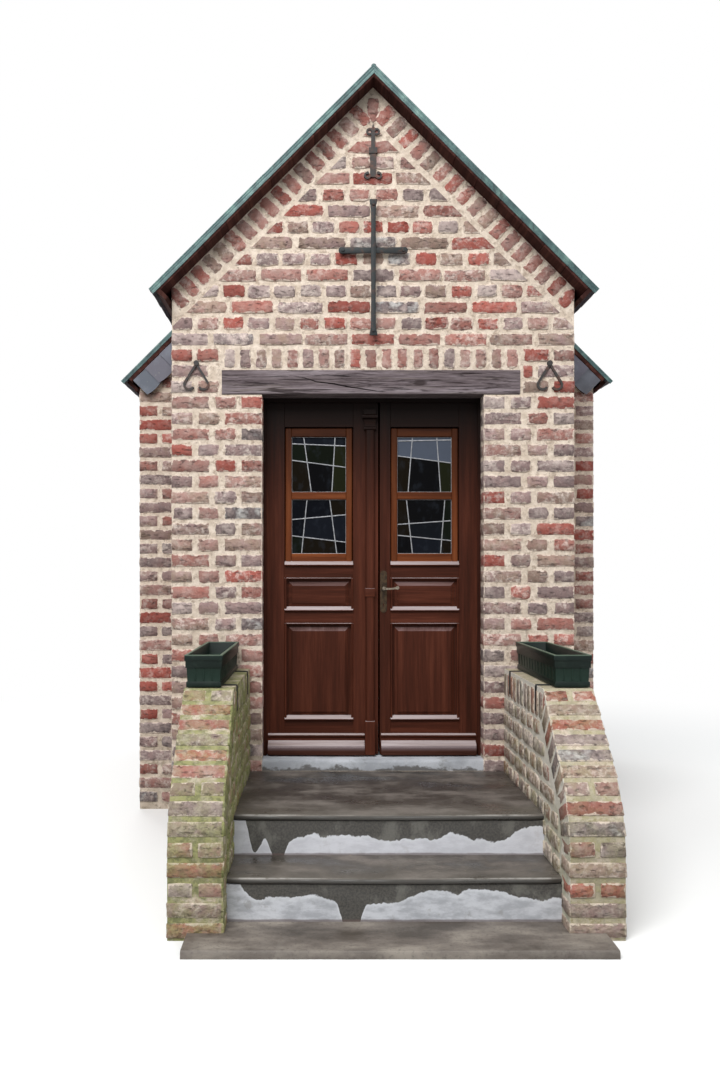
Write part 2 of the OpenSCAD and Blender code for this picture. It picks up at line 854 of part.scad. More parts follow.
module roof_boards_right() {
    color("sienna") slope_layer(front_board_u, nave_board_u, board_top, board_under);
}

module roof_boards_left() {
    mirror([1, 0, 0]) roof_boards_right();
}

// A place on the right slope, from its distance down the slope and its depth below the trims' top
function on_right(u, depth) = [u * cos(pitch) - depth * sin(pitch),
    ridge_z - u * sin(pitch) - depth * cos(pitch)];

// Slate courses from the ridge down to a distance on the slope, each tail lying on the next course
module slate_courses(u_end, y0, y1) {
    top = slate_top + seat_clear;
    count = floor(u_end / slate_course);
    tails = [for (k = [count : -1 : 0]) u_end - k * slate_course];
    along_y(y0, y1) polygon(concat(
        [on_right(board_top * tan(pitch), board_top), on_right(top * tan(pitch), top)],
        [for (k = [0 : count - 1]) for (depth = [top, top + slate_step])
            on_right(tails[k], depth)],
        [on_right(u_end, top), on_right(u_end, board_top)]));
}

module roof_slates_right() {
    color("slategray") {
        slate_courses(front_u, roof_front_y + trim_t, nave_front_y + trim_t);
        slate_courses(nave_u, nave_front_y + trim_t, roof_back_y - trim_t);
    }
}

module roof_slates_left() {
    mirror([1, 0, 0]) roof_slates_right();
}

module ridge_cap() {
    color("mediumaquamarine") both_sides() slope_piece(0, cap_w, roof_front_y + trim_lap,
        roof_back_y - trim_lap, 0, trim_t, 0);
}

// A trim over the edge of a slope: a face down the edge and a lap on to the slates
module slope_trim(u0, u1, edge_y, inward, face_h) {
    lap_y = edge_y + inward * trim_lap;
    face_y = edge_y + inward * trim_t;
    slope_piece(u0, u1, min(edge_y, face_y), max(edge_y, face_y), 0, face_h, 0);
    slope_piece(u0, u1, min(edge_y, lap_y), max(edge_y, lap_y), 0, trim_t, 0);
}

module verge_trims() {
    color("mediumaquamarine") both_sides() {
        slope_trim(0, front_u, roof_front_y, 1, front_trim_h);
        slope_trim(front_u + eps, nave_u, nave_front_y, 1, nave_trim_h);
        slope_trim(0, nave_u, roof_back_y, -1, nave_trim_h);
    }
}

module slate_bargeboards() {
    color("slategray") both_sides() slope_piece(0, nave_board_u + fascia_t, nave_front_y + trim_t,
        nave_front_y + trim_t + barge_t, board_under, board_under + barge_h, half_front);
}

// Lower edge of a board under the eaves that just clears the wall, square to the slope
function fascia_under(board_u, wall_x) =
    (board_u * cos(pitch) - wall_x - fascia_clear) / sin(pitch);

module eaves_boards() {
    color("sienna") both_sides() {
        slope_piece(front_board_u, front_board_u + fascia_t, roof_front_y + trim_t, nave_front_y,
            board_top, fascia_under(front_board_u, half_front), 0);
        slope_piece(nave_board_u, nave_board_u + fascia_t, nave_front_y + trim_t + barge_t,
            roof_back_y - trim_t, board_top, fascia_under(nave_board_u, half_nave), 0);
    }
}

// Flower boxes

// Side outline of a flower box: a tray at the foot, sloping sides and a rim in two steps
module box_outline(rim) {
    tray = rim - 6.5;
    foot = rim - 11;
    neck = rim - 8;
    step = rim - 3.5;
    half = [[tray, 0], [tray, 22], [foot, 22], [neck, box_h - 54], [step, box_h - 54],
        [step, box_h - 24], [rim, box_h - 24], [rim, box_h]];
    polygon(concat(half, [for (k = [len(half) - 1 : -1 : 0]) [-half[k][0], half[k][1]]]));
}

// Side outline of the space inside a flower box
module box_inside(rim) {
    foot = rim - 11 - box_wall;
    neck = rim - 8 - box_wall;
    polygon([[-foot, box_wall + 4], [foot, box_wall + 4], [neck, box_h + eps], [-neck, box_h + eps]]);
}

module flower_box(side) {
    half_w = box_w / 2;
    half_l = box_l / 2;
    color("darkgreen") translate([stair_x + side * box_x, box_y, cheek_z + strap_t]) difference() {
        intersection() {
            along_y(-half_l, half_l) box_outline(half_w);
            along_x(-half_w, half_w) box_outline(half_l);
        }
        intersection() {
            along_y(-half_l, half_l) box_inside(half_w);
            along_x(-half_w, half_w) box_inside(half_l);
        }
    }
}

module left_flower_box() {
    flower_box(-1);
}

module right_flower_box() {
    flower_box(1);
}

// Straps bent over the copings, with a leg down each side
module box_straps() {
    color("black") for (side = [-1, 1], spot = strap_spots) {
        x = stair_x + side * cheek_x;
        w = cheek_w / 2;
        along_y(box_y + spot - strap_w / 2, box_y + spot + strap_w / 2) polygon([
            [x - w - strap_t, cheek_z + strap_t], [x - w - strap_t, cheek_z - strap_leg],
            [x - w, cheek_z - strap_leg], [x - w, cheek_z], [x + w, cheek_z],
            [x + w, cheek_z - strap_leg], [x + w + strap_t, cheek_z - strap_leg],
            [x + w + strap_t, cheek_z + strap_t]]);
    }
}

// Ironwork

// Outline of a flat bar bent to part of a ring
module bent_bar(x, z, r, w, a0, a1) {
    polygon(concat(arc(x, z, r + w / 2, a0, a1, 14), arc(x, z, r - w / 2, a1, a0, 14)));
}

// Outline of a flat bar from one place to another
module straight_bar(x0, z0, x1, z1, w) {
    run = norm([x1 - x0, z1 - z0]);
    dx = (z0 - z1) / run * w / 2;
    dz = (x1 - x0) / run * w / 2;
    polygon([[x0 + dx, z0 + dz], [x0 - dx, z0 - dz], [x1 - dx, z1 - dz], [x1 + dx, z1 + dz]]);
}

// A flat upright bar with flared ends in front of an arm with rounded ends, on four studs
module wall_cross() {
    back = front_y - cross_stand;
    arm_z = cross_z + cross_arm;
    top = cross_z + cross_h;
    flare_h = 34;
    bar = cross_bar / 2;
    flare = cross_flare / 2;
    round_r = cross_arm_bar / 2;
    color("black") {
        along_y(back - 2 * cross_bar_t, back - cross_bar_t) polygon([
            [-flare, cross_z], [flare, cross_z], [bar, cross_z + flare_h], [bar, top - flare_h],
            [flare, top], [-flare, top], [-bar, top - flare_h], [-bar, cross_z + flare_h]]);
        along_y(back - cross_bar_t, back) {
            translate([round_r - cross_w / 2, arm_z - round_r])
                square([cross_w - cross_arm_bar, cross_arm_bar]);
            for (x = [round_r - cross_w / 2, cross_w / 2 - round_r]) translate([x, arm_z])
                circle(r = round_r);
        }
        for (z = [cross_z + 24, top - 24]) translate([0, front_y, z]) rotate([90, 0, 0])
            cylinder(r = 10, h = cross_stand + 2 * cross_bar_t + 6);
        for (x = [-cross_w / 2 + 22, cross_w / 2 - 22]) translate([x, front_y, arm_z])
            rotate([90, 0, 0]) cylinder(r = 9, h = cross_stand + cross_bar_t + 5);
    }
}

// The anchor at the gable: a shaft with a collar, a spike between two curls above, and two feet
// that curl outwards and up, all with round ends
module gable_anchor() {
    y0 = front_y - anchor_t;
    low = gable_anchor_z;
    top = low + gable_anchor_h;
    bar = 9;
    knob_r = 7;
    curl = [17, top - 48, 13];
    foot = [28, low + 18, 13];
    curl_end = 140;
    foot_end = 95;
    along_y(y0, front_y) {
        polygon([[-15, low + 10], [15, low + 10], [15, low + 140], [9.5, low + 140],
            [9.5, top - 62], [0, top], [-9.5, top - 62], [-9.5, low + 140], [-15, low + 140]]);
        both_sides() {
            bent_bar(curl[0], curl[1], curl[2], bar, -150, curl_end);
            translate([curl[0] + curl[2] * cos(curl_end), curl[1] + curl[2] * sin(curl_end)])
                circle(r = knob_r);
            bent_bar(foot[0], foot[1], foot[2], bar, -165, foot_end);
            translate([foot[0] + foot[2] * cos(foot_end), foot[1] + foot[2] * sin(foot_end)])
                circle(r = knob_r);
        }
    }
    block([-21, y0 - 4, low + 128], [21, front_y, low + 156]);
}

// An anchor shaped as an open spade: a knob and two arms that curl in at the foot
module side_anchor() {
    ring_x = 36;
    ring_z = 30;
    ring_r = 24;
    bar = 11;
    lean = 32;
    start = [ring_x + ring_r * cos(lean), ring_z + ring_r * sin(lean)];
    peak = start[1] + start[0] / tan(lean);
    along_y(front_y - anchor_t, front_y) both_sides() {
        bent_bar(ring_x, ring_z, ring_r, bar, -150, lean);
        straight_bar(start[0], start[1], 0, peak, bar);
    }
    translate([0, front_y, peak + 4]) rotate([90, 0, 0]) cylinder(r = 13, h = anchor_t + 4);
}

module wall_anchors() {
    color("dimgray") {
        gable_anchor();
        for (side = [-1, 1]) translate([side * (lintel_w / 2 + anchor_gap), 0, side_anchor_z])
            side_anchor();
    }
}

bottom_slab();
step_masonry();
stair_treads();
cheek_walls();
cheek_copings();
box_straps();
left_flower_box();
right_flower_box();
doorway_base();
threshold();
front_wall_left();
front_wall_right();
front_gable();
lintel_beam();
side_walls();
shoulder_walls();
nave_walls();
back_wall();
floor_slab();
door_frame();
frame_hinges();
left_leaf();
left_panels();
left_mouldings();
left_sash();
left_glass();
left_leaf_hinges();
astragal();
right_leaf();
right_panels();
right_mouldings();
right_sash();
right_glass();
right_leaf_hinges();
handle_plate();
door_lever();
roof_boards_left();
roof_boards_right();
roof_slates_left();
roof_slates_right();
ridge_cap();
verge_trims();
slate_bargeboards();
eaves_boards();
wall_anchors();
wall_cross();
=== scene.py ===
# %% [markdown]
# # A wayside shrine in brick, slate and oak
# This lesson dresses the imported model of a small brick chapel. The model gives every size and every
# moving part. The looks are made here: single bricks and slates, the grain of the doors, lead in the
# windows, damp on the steps and moss on the cheek walls. Each cell adds one piece or one finish.

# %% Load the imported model
import math
import random

import bpy
from mathutils import Matrix, Vector, noise


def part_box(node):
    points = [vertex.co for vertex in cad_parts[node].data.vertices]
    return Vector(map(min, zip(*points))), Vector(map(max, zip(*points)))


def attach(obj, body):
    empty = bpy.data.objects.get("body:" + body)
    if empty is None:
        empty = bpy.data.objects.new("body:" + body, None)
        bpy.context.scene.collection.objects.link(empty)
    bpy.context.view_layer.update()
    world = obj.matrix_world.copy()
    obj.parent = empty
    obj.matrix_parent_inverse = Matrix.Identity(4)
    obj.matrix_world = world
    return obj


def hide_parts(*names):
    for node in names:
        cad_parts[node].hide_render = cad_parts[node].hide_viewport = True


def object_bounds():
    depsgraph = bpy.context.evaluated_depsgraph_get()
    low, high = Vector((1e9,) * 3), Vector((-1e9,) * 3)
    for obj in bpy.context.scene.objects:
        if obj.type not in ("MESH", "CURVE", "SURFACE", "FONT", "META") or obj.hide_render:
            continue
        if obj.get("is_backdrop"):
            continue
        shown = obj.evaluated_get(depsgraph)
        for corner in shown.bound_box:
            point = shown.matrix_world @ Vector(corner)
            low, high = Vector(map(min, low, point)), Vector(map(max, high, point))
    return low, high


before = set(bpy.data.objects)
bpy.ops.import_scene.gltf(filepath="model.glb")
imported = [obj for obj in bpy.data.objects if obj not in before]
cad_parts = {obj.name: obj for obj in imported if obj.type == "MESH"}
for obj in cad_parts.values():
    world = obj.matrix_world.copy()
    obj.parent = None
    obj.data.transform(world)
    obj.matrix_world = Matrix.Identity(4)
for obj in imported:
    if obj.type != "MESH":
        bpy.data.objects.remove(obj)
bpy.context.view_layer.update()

# %% [markdown]
# ## The camera
# The photograph was taken standing in front of the steps, a little left of the middle. The camera
# looks straight ahead, so upright lines stay upright, and a small shift frames the whole gable. The
# lens was found from the size of the bricks and from the point where the step edges meet.

# %% Place the camera
CAMERA_PLACE = (-0.25, -5.4095, 1.347)
bpy.ops.object.camera_add(location=CAMERA_PLACE, rotation=(math.radians(90), 0, 0))
camera = bpy.context.object
camera.data.sensor_width = 36
camera.data.lens = 31.67
camera.data.shift_x = 0.0343
camera.data.shift_y = 0.0315
bpy.context.scene.camera = camera
print("camera at", CAMERA_PLACE)

# %% [markdown]
# ## Helpers for materials
# Every finish is a small net of nodes. These helpers add a node and join its sockets in one line, so
# that a recipe below reads like a list of layers. A value that changes over a surface is a Field,
# and a sum written with it adds the node that does the sum. A number that is the same all over a
# surface goes straight on to the shader's own socket.

# %% Material helpers
def tint(red, green, blue):
    """A colour read from 0 to 255 a channel, as Blender's linear numbers."""
    channels = [v / 255 for v in (red, green, blue)]
    return [v / 12.92 if v <= 0.04045 else ((v + 0.055) / 1.055) ** 2.4 for v in channels] + [1]


class Field:
    """A value that changes over a surface. A sum written on it adds the node that works it out."""

    def __init__(self, tree, socket):
        self.tree = tree
        self.socket = socket

    def sum(self, operation, first, second=0.0):
        return wire(self.tree, "Math", {"operation": operation}, i0=first, i1=second)

    def __add__(self, other):
        return self.sum("ADD", self, other)

    def __sub__(self, other):
        return self.sum("SUBTRACT", self, other)

    def __rsub__(self, other):
        return self.sum("SUBTRACT", other, self)

    def __mul__(self, other):
        return self.sum("MULTIPLY", self, other)

    def __pow__(self, power):
        return self.sum("POWER", self, power)

    def __gt__(self, level):
        return self.sum("GREATER_THAN", self, level)

    def __lt__(self, level):
        return self.sum("LESS_THAN", self, level)

    def __abs__(self):
        return self.sum("ABSOLUTE", self)


def node(tree, kind, settings=None, **sockets):
    """Adds a shader node, sets its options, and sets or joins the sockets that are named."""
    made = tree.nodes.new("ShaderNode" + kind)
    for key, value in (settings or {}).items():
        setattr(made, key, value)
    for key, value in sockets.items():
        numbered = key[0] == "i" and key[1:].isdigit()
        socket = made.inputs[int(key[1:])] if numbered else made.inputs[key.replace("_", " ")]
        if isinstance(value, Field):
            tree.links.new(value.socket, socket)
        else:
            socket.default_value = value
    return made


def wire(tree, kind, settings=None, out=0, **sockets):
    """Adds a shader node and gives one of its outputs."""
    return Field(tree, node(tree, kind, settings, **sockets).outputs[out])


def lesser(first, second):
    return first.sum("MINIMUM", first, second)


def greater(first, second):
    return first.sum("MAXIMUM", first, second)


def between(value, low, high):
    """1 where a value lies between two levels, and 0 elsewhere."""
    return (value > low) * (value < high)


def colour_of(value):
    """Three numbers as a colour. Anything else stays as it is."""
    return tint(*value) if isinstance(value, tuple) and len(value) == 3 else value


def layer(amount, under, over, how="MIX"):
    """Lays one colour over another by an amount from 0 to 1."""
    tree = next(value.tree for value in (amount, under, over) if isinstance(value, Field))
    return wire(tree, "Mix", {"data_type": "RGBA", "blend_type": how}, 2, i0=amount,
                i6=colour_of(under), i7=colour_of(over))


def lightened(colour, by):
    """A colour made lighter or darker by a value near 1."""
    return layer(1.0, colour, wire(colour.tree, "CombineColor", i0=by, i1=by, i2=by), "MULTIPLY")


def grain_noise(where, scale, detail=5.0, rough=0.55):
    """Cloudy noise at a number of lumps a metre."""
    return wire(where.tree, "TexNoise", Vector=where, Scale=scale, Detail=detail, Roughness=rough)


def patches(value, low, high):
    """Turns a value into soft-edged patches between two levels."""
    return wire(value.tree, "MapRange", {"interpolation_type": "SMOOTHSTEP"}, Value=value,
                From_Min=low, From_Max=high)


def ramp(value, stops):
    """A row of colours to pick from with a value from 0 to 1."""
    made = node(value.tree, "ValToRGB", Fac=value)
    bar = made.color_ramp
    while len(bar.elements) < len(stops):
        bar.elements.new(0.5)
    for element, (at, colour) in zip(bar.elements, stops):
        element.position = at
        element.color = tint(*colour)
    return Field(value.tree, made.outputs[0])


def parts_of(value, kind="XYZ"):
    """The three numbers of a place, or of a colour where the kind is Color."""
    return [Field(value.tree, socket) for socket in node(value.tree, "Separate" + kind, i0=value).outputs]


def own_numbers(place):
    """The numbers that each brick or board carries, as one colour and then one by one."""
    carried = node(place.tree, "Attribute", {"attribute_name": "tone"})
    colour, alpha = (Field(place.tree, carried.outputs[name]) for name in ("Color", "Alpha"))
    return colour, *parts_of(colour, "Color"), alpha


def moved(place, by, scale):
    """A place moved by a piece's own numbers, so that no two pieces share a pattern."""
    step = wire(place.tree, "VectorMath", {"operation": "SCALE"}, i0=by, Scale=scale)
    return wire(place.tree, "VectorMath", {"operation": "ADD"}, i0=place, i1=step)


def stretch(where, x, y, z):
    """Scales a place along each axis, which draws a pattern out along the small ones."""
    return wire(where.tree, "Mapping", Vector=where, Scale=(x, y, z))


def bump(height, strength, distance):
    """Turns a height into the normal for the shader."""
    return wire(height.tree, "Bump", Height=height, Strength=strength, Distance=distance)


def finish_of(name, roughness, **sockets):
    """A new material with its shader's constants set, the place of a point, and its X, Y and Z."""
    made = bpy.data.materials.new(name)
    made.use_nodes = True
    shader = made.node_tree.nodes["Principled BSDF"]
    for key, value in dict(sockets, Roughness=roughness).items():
        shader.inputs[key.replace("_", " ")].default_value = value
    place = wire(made.node_tree, "TexCoord", out="Object")
    return made, place, parts_of(place)


def connect(made, colour=None, normal=None, roughness=None):
    """Joins a finished recipe to its material's shader."""
    shader = made.node_tree.nodes["Principled BSDF"]
    for name, value in (("Base Color", colour), ("Normal", normal), ("Roughness", roughness)):
        if value is not None:
            made.node_tree.links.new(value.socket, shader.inputs[name])
    return made


# %% [markdown]
# ## Light and floor
# An overcast sky lights the real shrine from all sides, with a little more from above and in front.
# Three large soft lamps and a pale world do the same. The background is white only for rays from the
# camera and in reflections, so it adds no light of its own to the walls.

# %% Light the scene
def soft_lamp(name, place, aim, size, power):
    """Adds a square soft lamp that points at a place."""
    bpy.ops.object.light_add(type="AREA", location=place)
    lamp = bpy.context.object
    lamp.name = name
    lamp.data.size = size
    lamp.data.energy = power
    lamp.rotation_euler = (Vector(aim) - Vector(place)).to_track_quat("-Z", "Y").to_euler()


def seen_directly(tree):
    """1 for rays from the camera and in reflections and glass, and 0 for the light itself."""
    ray = node(tree, "LightPath")
    camera_ray, glossy_ray, glass_ray = (Field(tree, ray.outputs["Is " + kind + " Ray"])
                                         for kind in ("Camera", "Glossy", "Transmission"))
    return greater(greater(camera_ray, glossy_ray), glass_ray)


soft_lamp("sky_in_front", (-2.3, -7.2, 7.9), (0, -0.4, 1.0), 5.0, 880)
soft_lamp("sky_on_the_right", (7.0, -3.0, 6.0), (0, 0.5, 1.4), 5.0, 170)
soft_lamp("sky_behind", (-3.0, 8.5, 7.0), (0, 1.0, 1.4), 6.0, 420)

world = bpy.data.worlds.new("pale_sky")
bpy.context.scene.world = world
world.use_nodes = True
sky = world.node_tree
sky.nodes.clear()
dim = wire(sky, "Background", Color=(0.93, 0.97, 1.0, 1), Strength=0.52)
white = wire(sky, "Background", Color=(1, 1, 1, 1), Strength=1.0)
node(sky, "OutputWorld", Surface=wire(sky, "MixShader", i0=seen_directly(sky), i1=dim, i2=white))
bpy.context.scene.view_settings.view_transform = "Standard"

# %% [markdown]
# ## Brick and mortar
# Old hand-made bricks differ from one to the next: red, brown, mauve and buff, some with a white
# bloom. Each brick carries four numbers of its own, kept on its points: which colour it takes, how
# much bloom it has, how light it is and how much moss. One material reads them all, so a thousand
# bricks need only one recipe.

# %% Brick
BRICK_COLOURS = [
    (0.00, (150, 76, 66)), (0.12, (156, 90, 80)), (0.25, (156, 108, 98)), (0.36, (158, 124, 116)),
    (0.46, (146, 124, 110)), (0.56, (152, 126, 122)), (0.68, (130, 112, 110)), (0.80, (180, 162, 156)),
    (0.90, (106, 94, 94)), (1.00, (196, 194, 190))]
MOSS, DARK_MOSS = (160, 160, 106), (118, 122, 76)
TREAD_LOW, TREAD_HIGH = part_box("stair_treads")
FRONT_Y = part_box("front_gable")[0].y


def make_brick(name):
    made, place, (x, y, _) = finish_of(name, 0.9, Specular_IOR_Level=0.3)
    own, pick_at, bloom_at, light_at, own_moss = own_numbers(place)
    sheltered = between(x, TREAD_LOW.x - 0.006, TREAD_LOW.x + 0.008) * (y < FRONT_Y - 0.01)
    moss_at = greater(own_moss, sheltered * 1.6)
    where = moved(place, own, 3.0)
    broad = grain_noise(where, 16, 4)
    fine = grain_noise(where, 90, 6, 0.65)
    flecks = grain_noise(where, 27, 10, 0.76)
    crease = patches(grain_noise(stretch(where, 30, 40, 75), 1.0, 8, 0.7), 0.55, 0.68)
    fired = ramp(pick_at + (broad - 0.5) * 0.42, BRICK_COLOURS)
    fired = layer(crease * 0.62, fired, (76, 58, 53))
    fired = layer(patches(flecks, 0.46, 0.62) * (bloom_at * 0.7), fired, (216, 201, 191))
    pits = patches(grain_noise(where, 120, 5, 0.75), 0.58, 0.68)
    fired = lightened(layer(pits * 0.4, fired, (84, 66, 58)), light_at * 0.5 + 0.82)
    rim_x, rim_y, rim_z = parts_of(wire(place.tree, "Attribute", {"attribute_name": "rim"}, 1))
    from_rim = greater(lesser(rim_x, rim_z), lesser(greater(rim_x, rim_z), rim_y))
    creep = (grain_noise(where, 30, 5, 0.65) - 0.42) * 0.048
    smear = patches(creep - from_rim, -0.0012, 0.0016)
    fired = layer(smear * 0.85, fired, (228, 211, 196))
    film = patches(grain_noise(where, 20, 7, 0.7), 0.30, 0.62) * lesser(moss_at * 0.8, 0.85)
    fired = layer(film, fired, layer(lesser(moss_at, 1.0), (180, 170, 146), (146, 150, 98)))
    green = layer(patches(fine, 0.4, 0.6), DARK_MOSS, MOSS)
    mossy = patches(grain_noise(place, 11, 8, 0.7), 0.42, 0.62) * (moss_at * 0.8)
    relief = broad * 1.5 + fine - crease * 0.6
    return connect(made, layer(mossy, fired, green), bump(relief, 0.9, 0.009))


brick = make_brick("hand_made_brick")

# %% [markdown]
# The mortar is thick, cream and sandy, and it stands almost flush with the bricks. The walls of the
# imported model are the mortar, and the bricks are set a few millimetres out of them. Inside the
# chapel the same walls are limewashed, so the recipe asks where a point lies and changes over there.

# %% Mortar, with limewash inside
HALF_IN_FRONT, HALF_IN_REAR = 0.757, 1.052
IN_FRONT_Y, IN_STEP_Y, IN_REAR_Y = -0.411, 0.289, 1.762


def make_mortar(name, moss_left, moss_right):
    made, place, (x, y, z) = finish_of(name, 0.95, Specular_IOR_Level=0.2)
    broad = grain_noise(place, 5, 4)
    sandy = grain_noise(place, 320, 3, 0.7)
    lumps = grain_noise(place, 40, 6, 0.65)
    cream = patches(grain_noise(place, 24, 6, 0.7), 0.36, 0.62)
    colour = layer(cream, (246, 230, 213), (220, 202, 183))
    colour = layer(patches(lumps, 0.50, 0.66), colour, (190, 170, 152))
    colour = layer(patches(sandy, 0.50, 0.66) * 0.34, colour, (150, 132, 116))
    foot = patches(z, 0.9, 0.1) * patches(broad, 0.35, 0.6)
    colour = layer(foot * 0.5, colour, (150, 140, 120))
    amount = patches(x, -0.2, 0.3) * (moss_right - moss_left) + moss_left
    mossy = patches(grain_noise(place, 9, 8, 0.7), 0.3, 0.55) * amount
    if moss_left:
        right_inner = between(x, TREAD_HIGH.x - 0.02, TREAD_HIGH.x + 0.0015)
        colour = layer(right_inner * 0.75, colour, (252, 247, 238))
        mossy = mossy * (1.0 - right_inner * (patches(z, 0.35, 0.55) * 0.7))
    colour = layer(mossy, colour, layer(patches(lumps, 0.4, 0.6), DARK_MOSS, MOSS))
    front_room = (abs(x) < HALF_IN_FRONT) * between(y, IN_FRONT_Y, IN_STEP_Y + 0.003)
    rear_room = (abs(x) < HALF_IN_REAR) * between(y, IN_STEP_Y, IN_REAR_Y)
    lime = layer(patches(broad, 0.4, 0.7), (224, 220, 208), (204, 198, 184))
    colour = layer(greater(front_room, rear_room), colour, lime)
    return connect(made, colour, bump(lumps + sandy * 0.35, 1.0, 0.009))


mortar = make_mortar("cream_lime_mortar", 0.0, 0.0)
mossy_mortar = make_mortar("mossy_lime_mortar", 0.90, 0.50)

# %% [markdown]
# ## Helpers for shapes
# An operator acts on everything that is selected, so each helper starts by clearing the selection.
# A piece starts as a primitive at its size and place, is shaped in edit mode, and ends with its
# place applied to its mesh.

# %% Shape helpers
SIDES = ((-1, "left"), (1, "right"))


def alone(piece):
    """Selects one piece only and makes it the active one."""
    bpy.ops.object.select_all(action="DESELECT")
    piece.select_set(True)
    bpy.context.view_layer.objects.active = piece


def primitive(add, name, **settings):
    """Adds one of Blender's own shapes by the operator that makes it, and names it."""
    bpy.ops.object.select_all(action="DESELECT")
    add(**settings)
    bpy.context.object.name = name
    return bpy.context.object


def apply_place(piece):
    """Moves a piece's place, turn and size into its mesh."""
    alone(piece)
    bpy.ops.object.transform_apply(location=True, rotation=True, scale=True)
    return piece


def block(name, low, high):
    """A cube between two corners, with its place in its mesh."""
    low, high = Vector(low), Vector(high)
    made = primitive(bpy.ops.mesh.primitive_cube_add, name, size=1, location=(low + high) / 2)
    made.scale = high - low
    return apply_place(made)


def rod(name, sides, radius, long, middle):
    """A round rod that lies along Y."""
    return apply_place(primitive(bpy.ops.mesh.primitive_cylinder_add, name, vertices=sides,
                                 radius=radius, depth=long, location=middle,
                                 rotation=(math.pi / 2, 0, 0)))


def edit(piece, kind="FACE", rule=lambda *given: True):
    """Opens edit mode with the faces, edges or points chosen that a rule accepts, or all of them."""
    alone(piece)
    bpy.ops.object.mode_set(mode="EDIT")
    bpy.ops.mesh.select_mode(type=kind)
    bpy.ops.mesh.select_all(action="DESELECT")
    bpy.ops.object.mode_set(mode="OBJECT")
    mesh = piece.data
    if kind == "EDGE":
        for edge in mesh.edges:
            edge.select = rule(*[mesh.vertices[v].co for v in edge.vertices])
    else:
        for item in mesh.polygons if kind == "FACE" else mesh.vertices:
            item.select = rule(item)
    bpy.ops.object.mode_set(mode="EDIT")


def done(piece):
    """Leaves edit mode."""
    bpy.ops.object.mode_set(mode="OBJECT")
    return piece


def soften(piece, width, segments=1, rule=lambda a, b: True):
    """Bevels every edge of a piece, or the edges that a rule accepts."""
    edit(piece, "EDGE", rule)
    bpy.ops.mesh.bevel(offset=width, segments=segments, affect="EDGES", clamp_overlap=True)
    return done(piece)


def cut_off(piece, place, outward):
    """Cuts a piece with a plane, clears what lies outside it and closes the cut."""
    edit(piece)
    bpy.ops.mesh.bisect(plane_co=place, plane_no=outward, use_fill=True, clear_outer=True)
    return done(piece)


def slice_up(piece, x0, x1, count):
    """Cuts a piece across into even lengths, so that its edges can be pushed about."""
    for index in range(1, count):
        edit(piece)
        bpy.ops.mesh.bisect(plane_co=(x0 + index * (x1 - x0) / count, 0, 0), plane_no=(1, 0, 0))
        done(piece)


def draw_out(piece, direction=(0, 0, 0)):
    """Draws the chosen faces out along a direction."""
    bpy.ops.mesh.extrude_region_move(TRANSFORM_OT_translate={"value": direction})
    return done(piece)


def tidy_normals(piece):
    """Merges doubled points and turns every face outwards."""
    edit(piece, "VERT")
    bpy.ops.mesh.remove_doubles(threshold=0.00002)
    bpy.ops.mesh.normals_make_consistent(inside=False)
    return done(piece)


def smooth(piece, angle=40):
    """Smooth shading across edges flatter than an angle."""
    alone(piece)
    bpy.ops.object.shade_smooth_by_angle(angle=math.radians(angle))
    return piece


def join(parts, name):
    """Joins pieces into one mesh."""
    bpy.ops.object.select_all(action="DESELECT")
    for part in parts:
        part.select_set(True)
    bpy.context.view_layer.objects.active = parts[0]
    if len(parts) > 1:
        bpy.ops.object.join()
    parts[0].name = name
    parts[0].data.name = name
    return parts[0]


def copy_of(template, change):
    """A copy with a mesh of its own, moved by a matrix."""
    made = template.copy()
    made.data = template.data.copy()
    made.data.transform(change)
    bpy.context.collection.objects.link(made)
    return made


def remove(*pieces):
    """Deletes templates that are no longer needed."""
    for piece in pieces:
        bpy.data.objects.remove(piece)


def placed(*place):
    """The matrix that moves to a place."""
    return Matrix.Translation(place)


def spun(angle, axis):
    """The matrix that turns by an angle about X, Y or Z."""
    return Matrix.Rotation(angle, 4, axis)


def scaled(x, y, z):
    """The matrix that stretches along each axis."""
    return Matrix.Diagonal((x, y, z, 1))


def outline_piece(name, points, direction):
    """A flat outline drawn out along a direction into a closed solid."""
    made = primitive(bpy.ops.mesh.primitive_circle_add, name, vertices=len(points), fill_type="NGON")
    for point, place in zip(made.data.vertices, points):
        point.co = place
    edit(made)
    return tidy_normals(draw_out(made, direction))


def mirror_on(edge):
    """Half an outline and its mirror image, from one end round to the other."""
    return edge + [(-across, up) for across, up in edge[::-1]]


def ringed(name, rings):
    """A closed piece built up from rectangles, each as its X and Y corners and its height."""
    made = primitive(bpy.ops.mesh.primitive_plane_add, name, size=1)
    edit(made)
    done(made)
    for index, (x0, y0, x1, y1, z) in enumerate(rings):
        if index:
            alone(made)
            bpy.ops.object.mode_set(mode="EDIT")
            draw_out(made)
        ring = [point for point in made.data.vertices if point.select]
        middle = sum((point.co for point in ring), Vector()) / len(ring)
        for point in ring:
            point.co = (x0 if point.co.x < middle.x else x1, y0 if point.co.y < middle.y else y1, z)
    return tidy_normals(made)


def paint(piece, *materials):
    """Gives a piece its materials in place of any it has."""
    piece.data.materials.clear()
    for material in materials:
        piece.data.materials.append(material)
    return piece


def hand_over(piece, body, slot, *nodes):
    """Says what a finished piece rides on and which nodes it stands for. The slot, for the name of its
    finish, is not used.
    """
    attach(piece, body)
    if nodes:
        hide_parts(*nodes)
    triangles = sum(len(face.vertices) - 2 for face in piece.data.polygons)
    print(piece.name, "rides on", body, "with", triangles, "triangles")


def finish(parts, name, material, body, slot, *nodes):
    """Joins the parts of one piece, gives it a single material and hands it over."""
    hand_over(paint(join(parts, name), material), body, slot, *nodes)


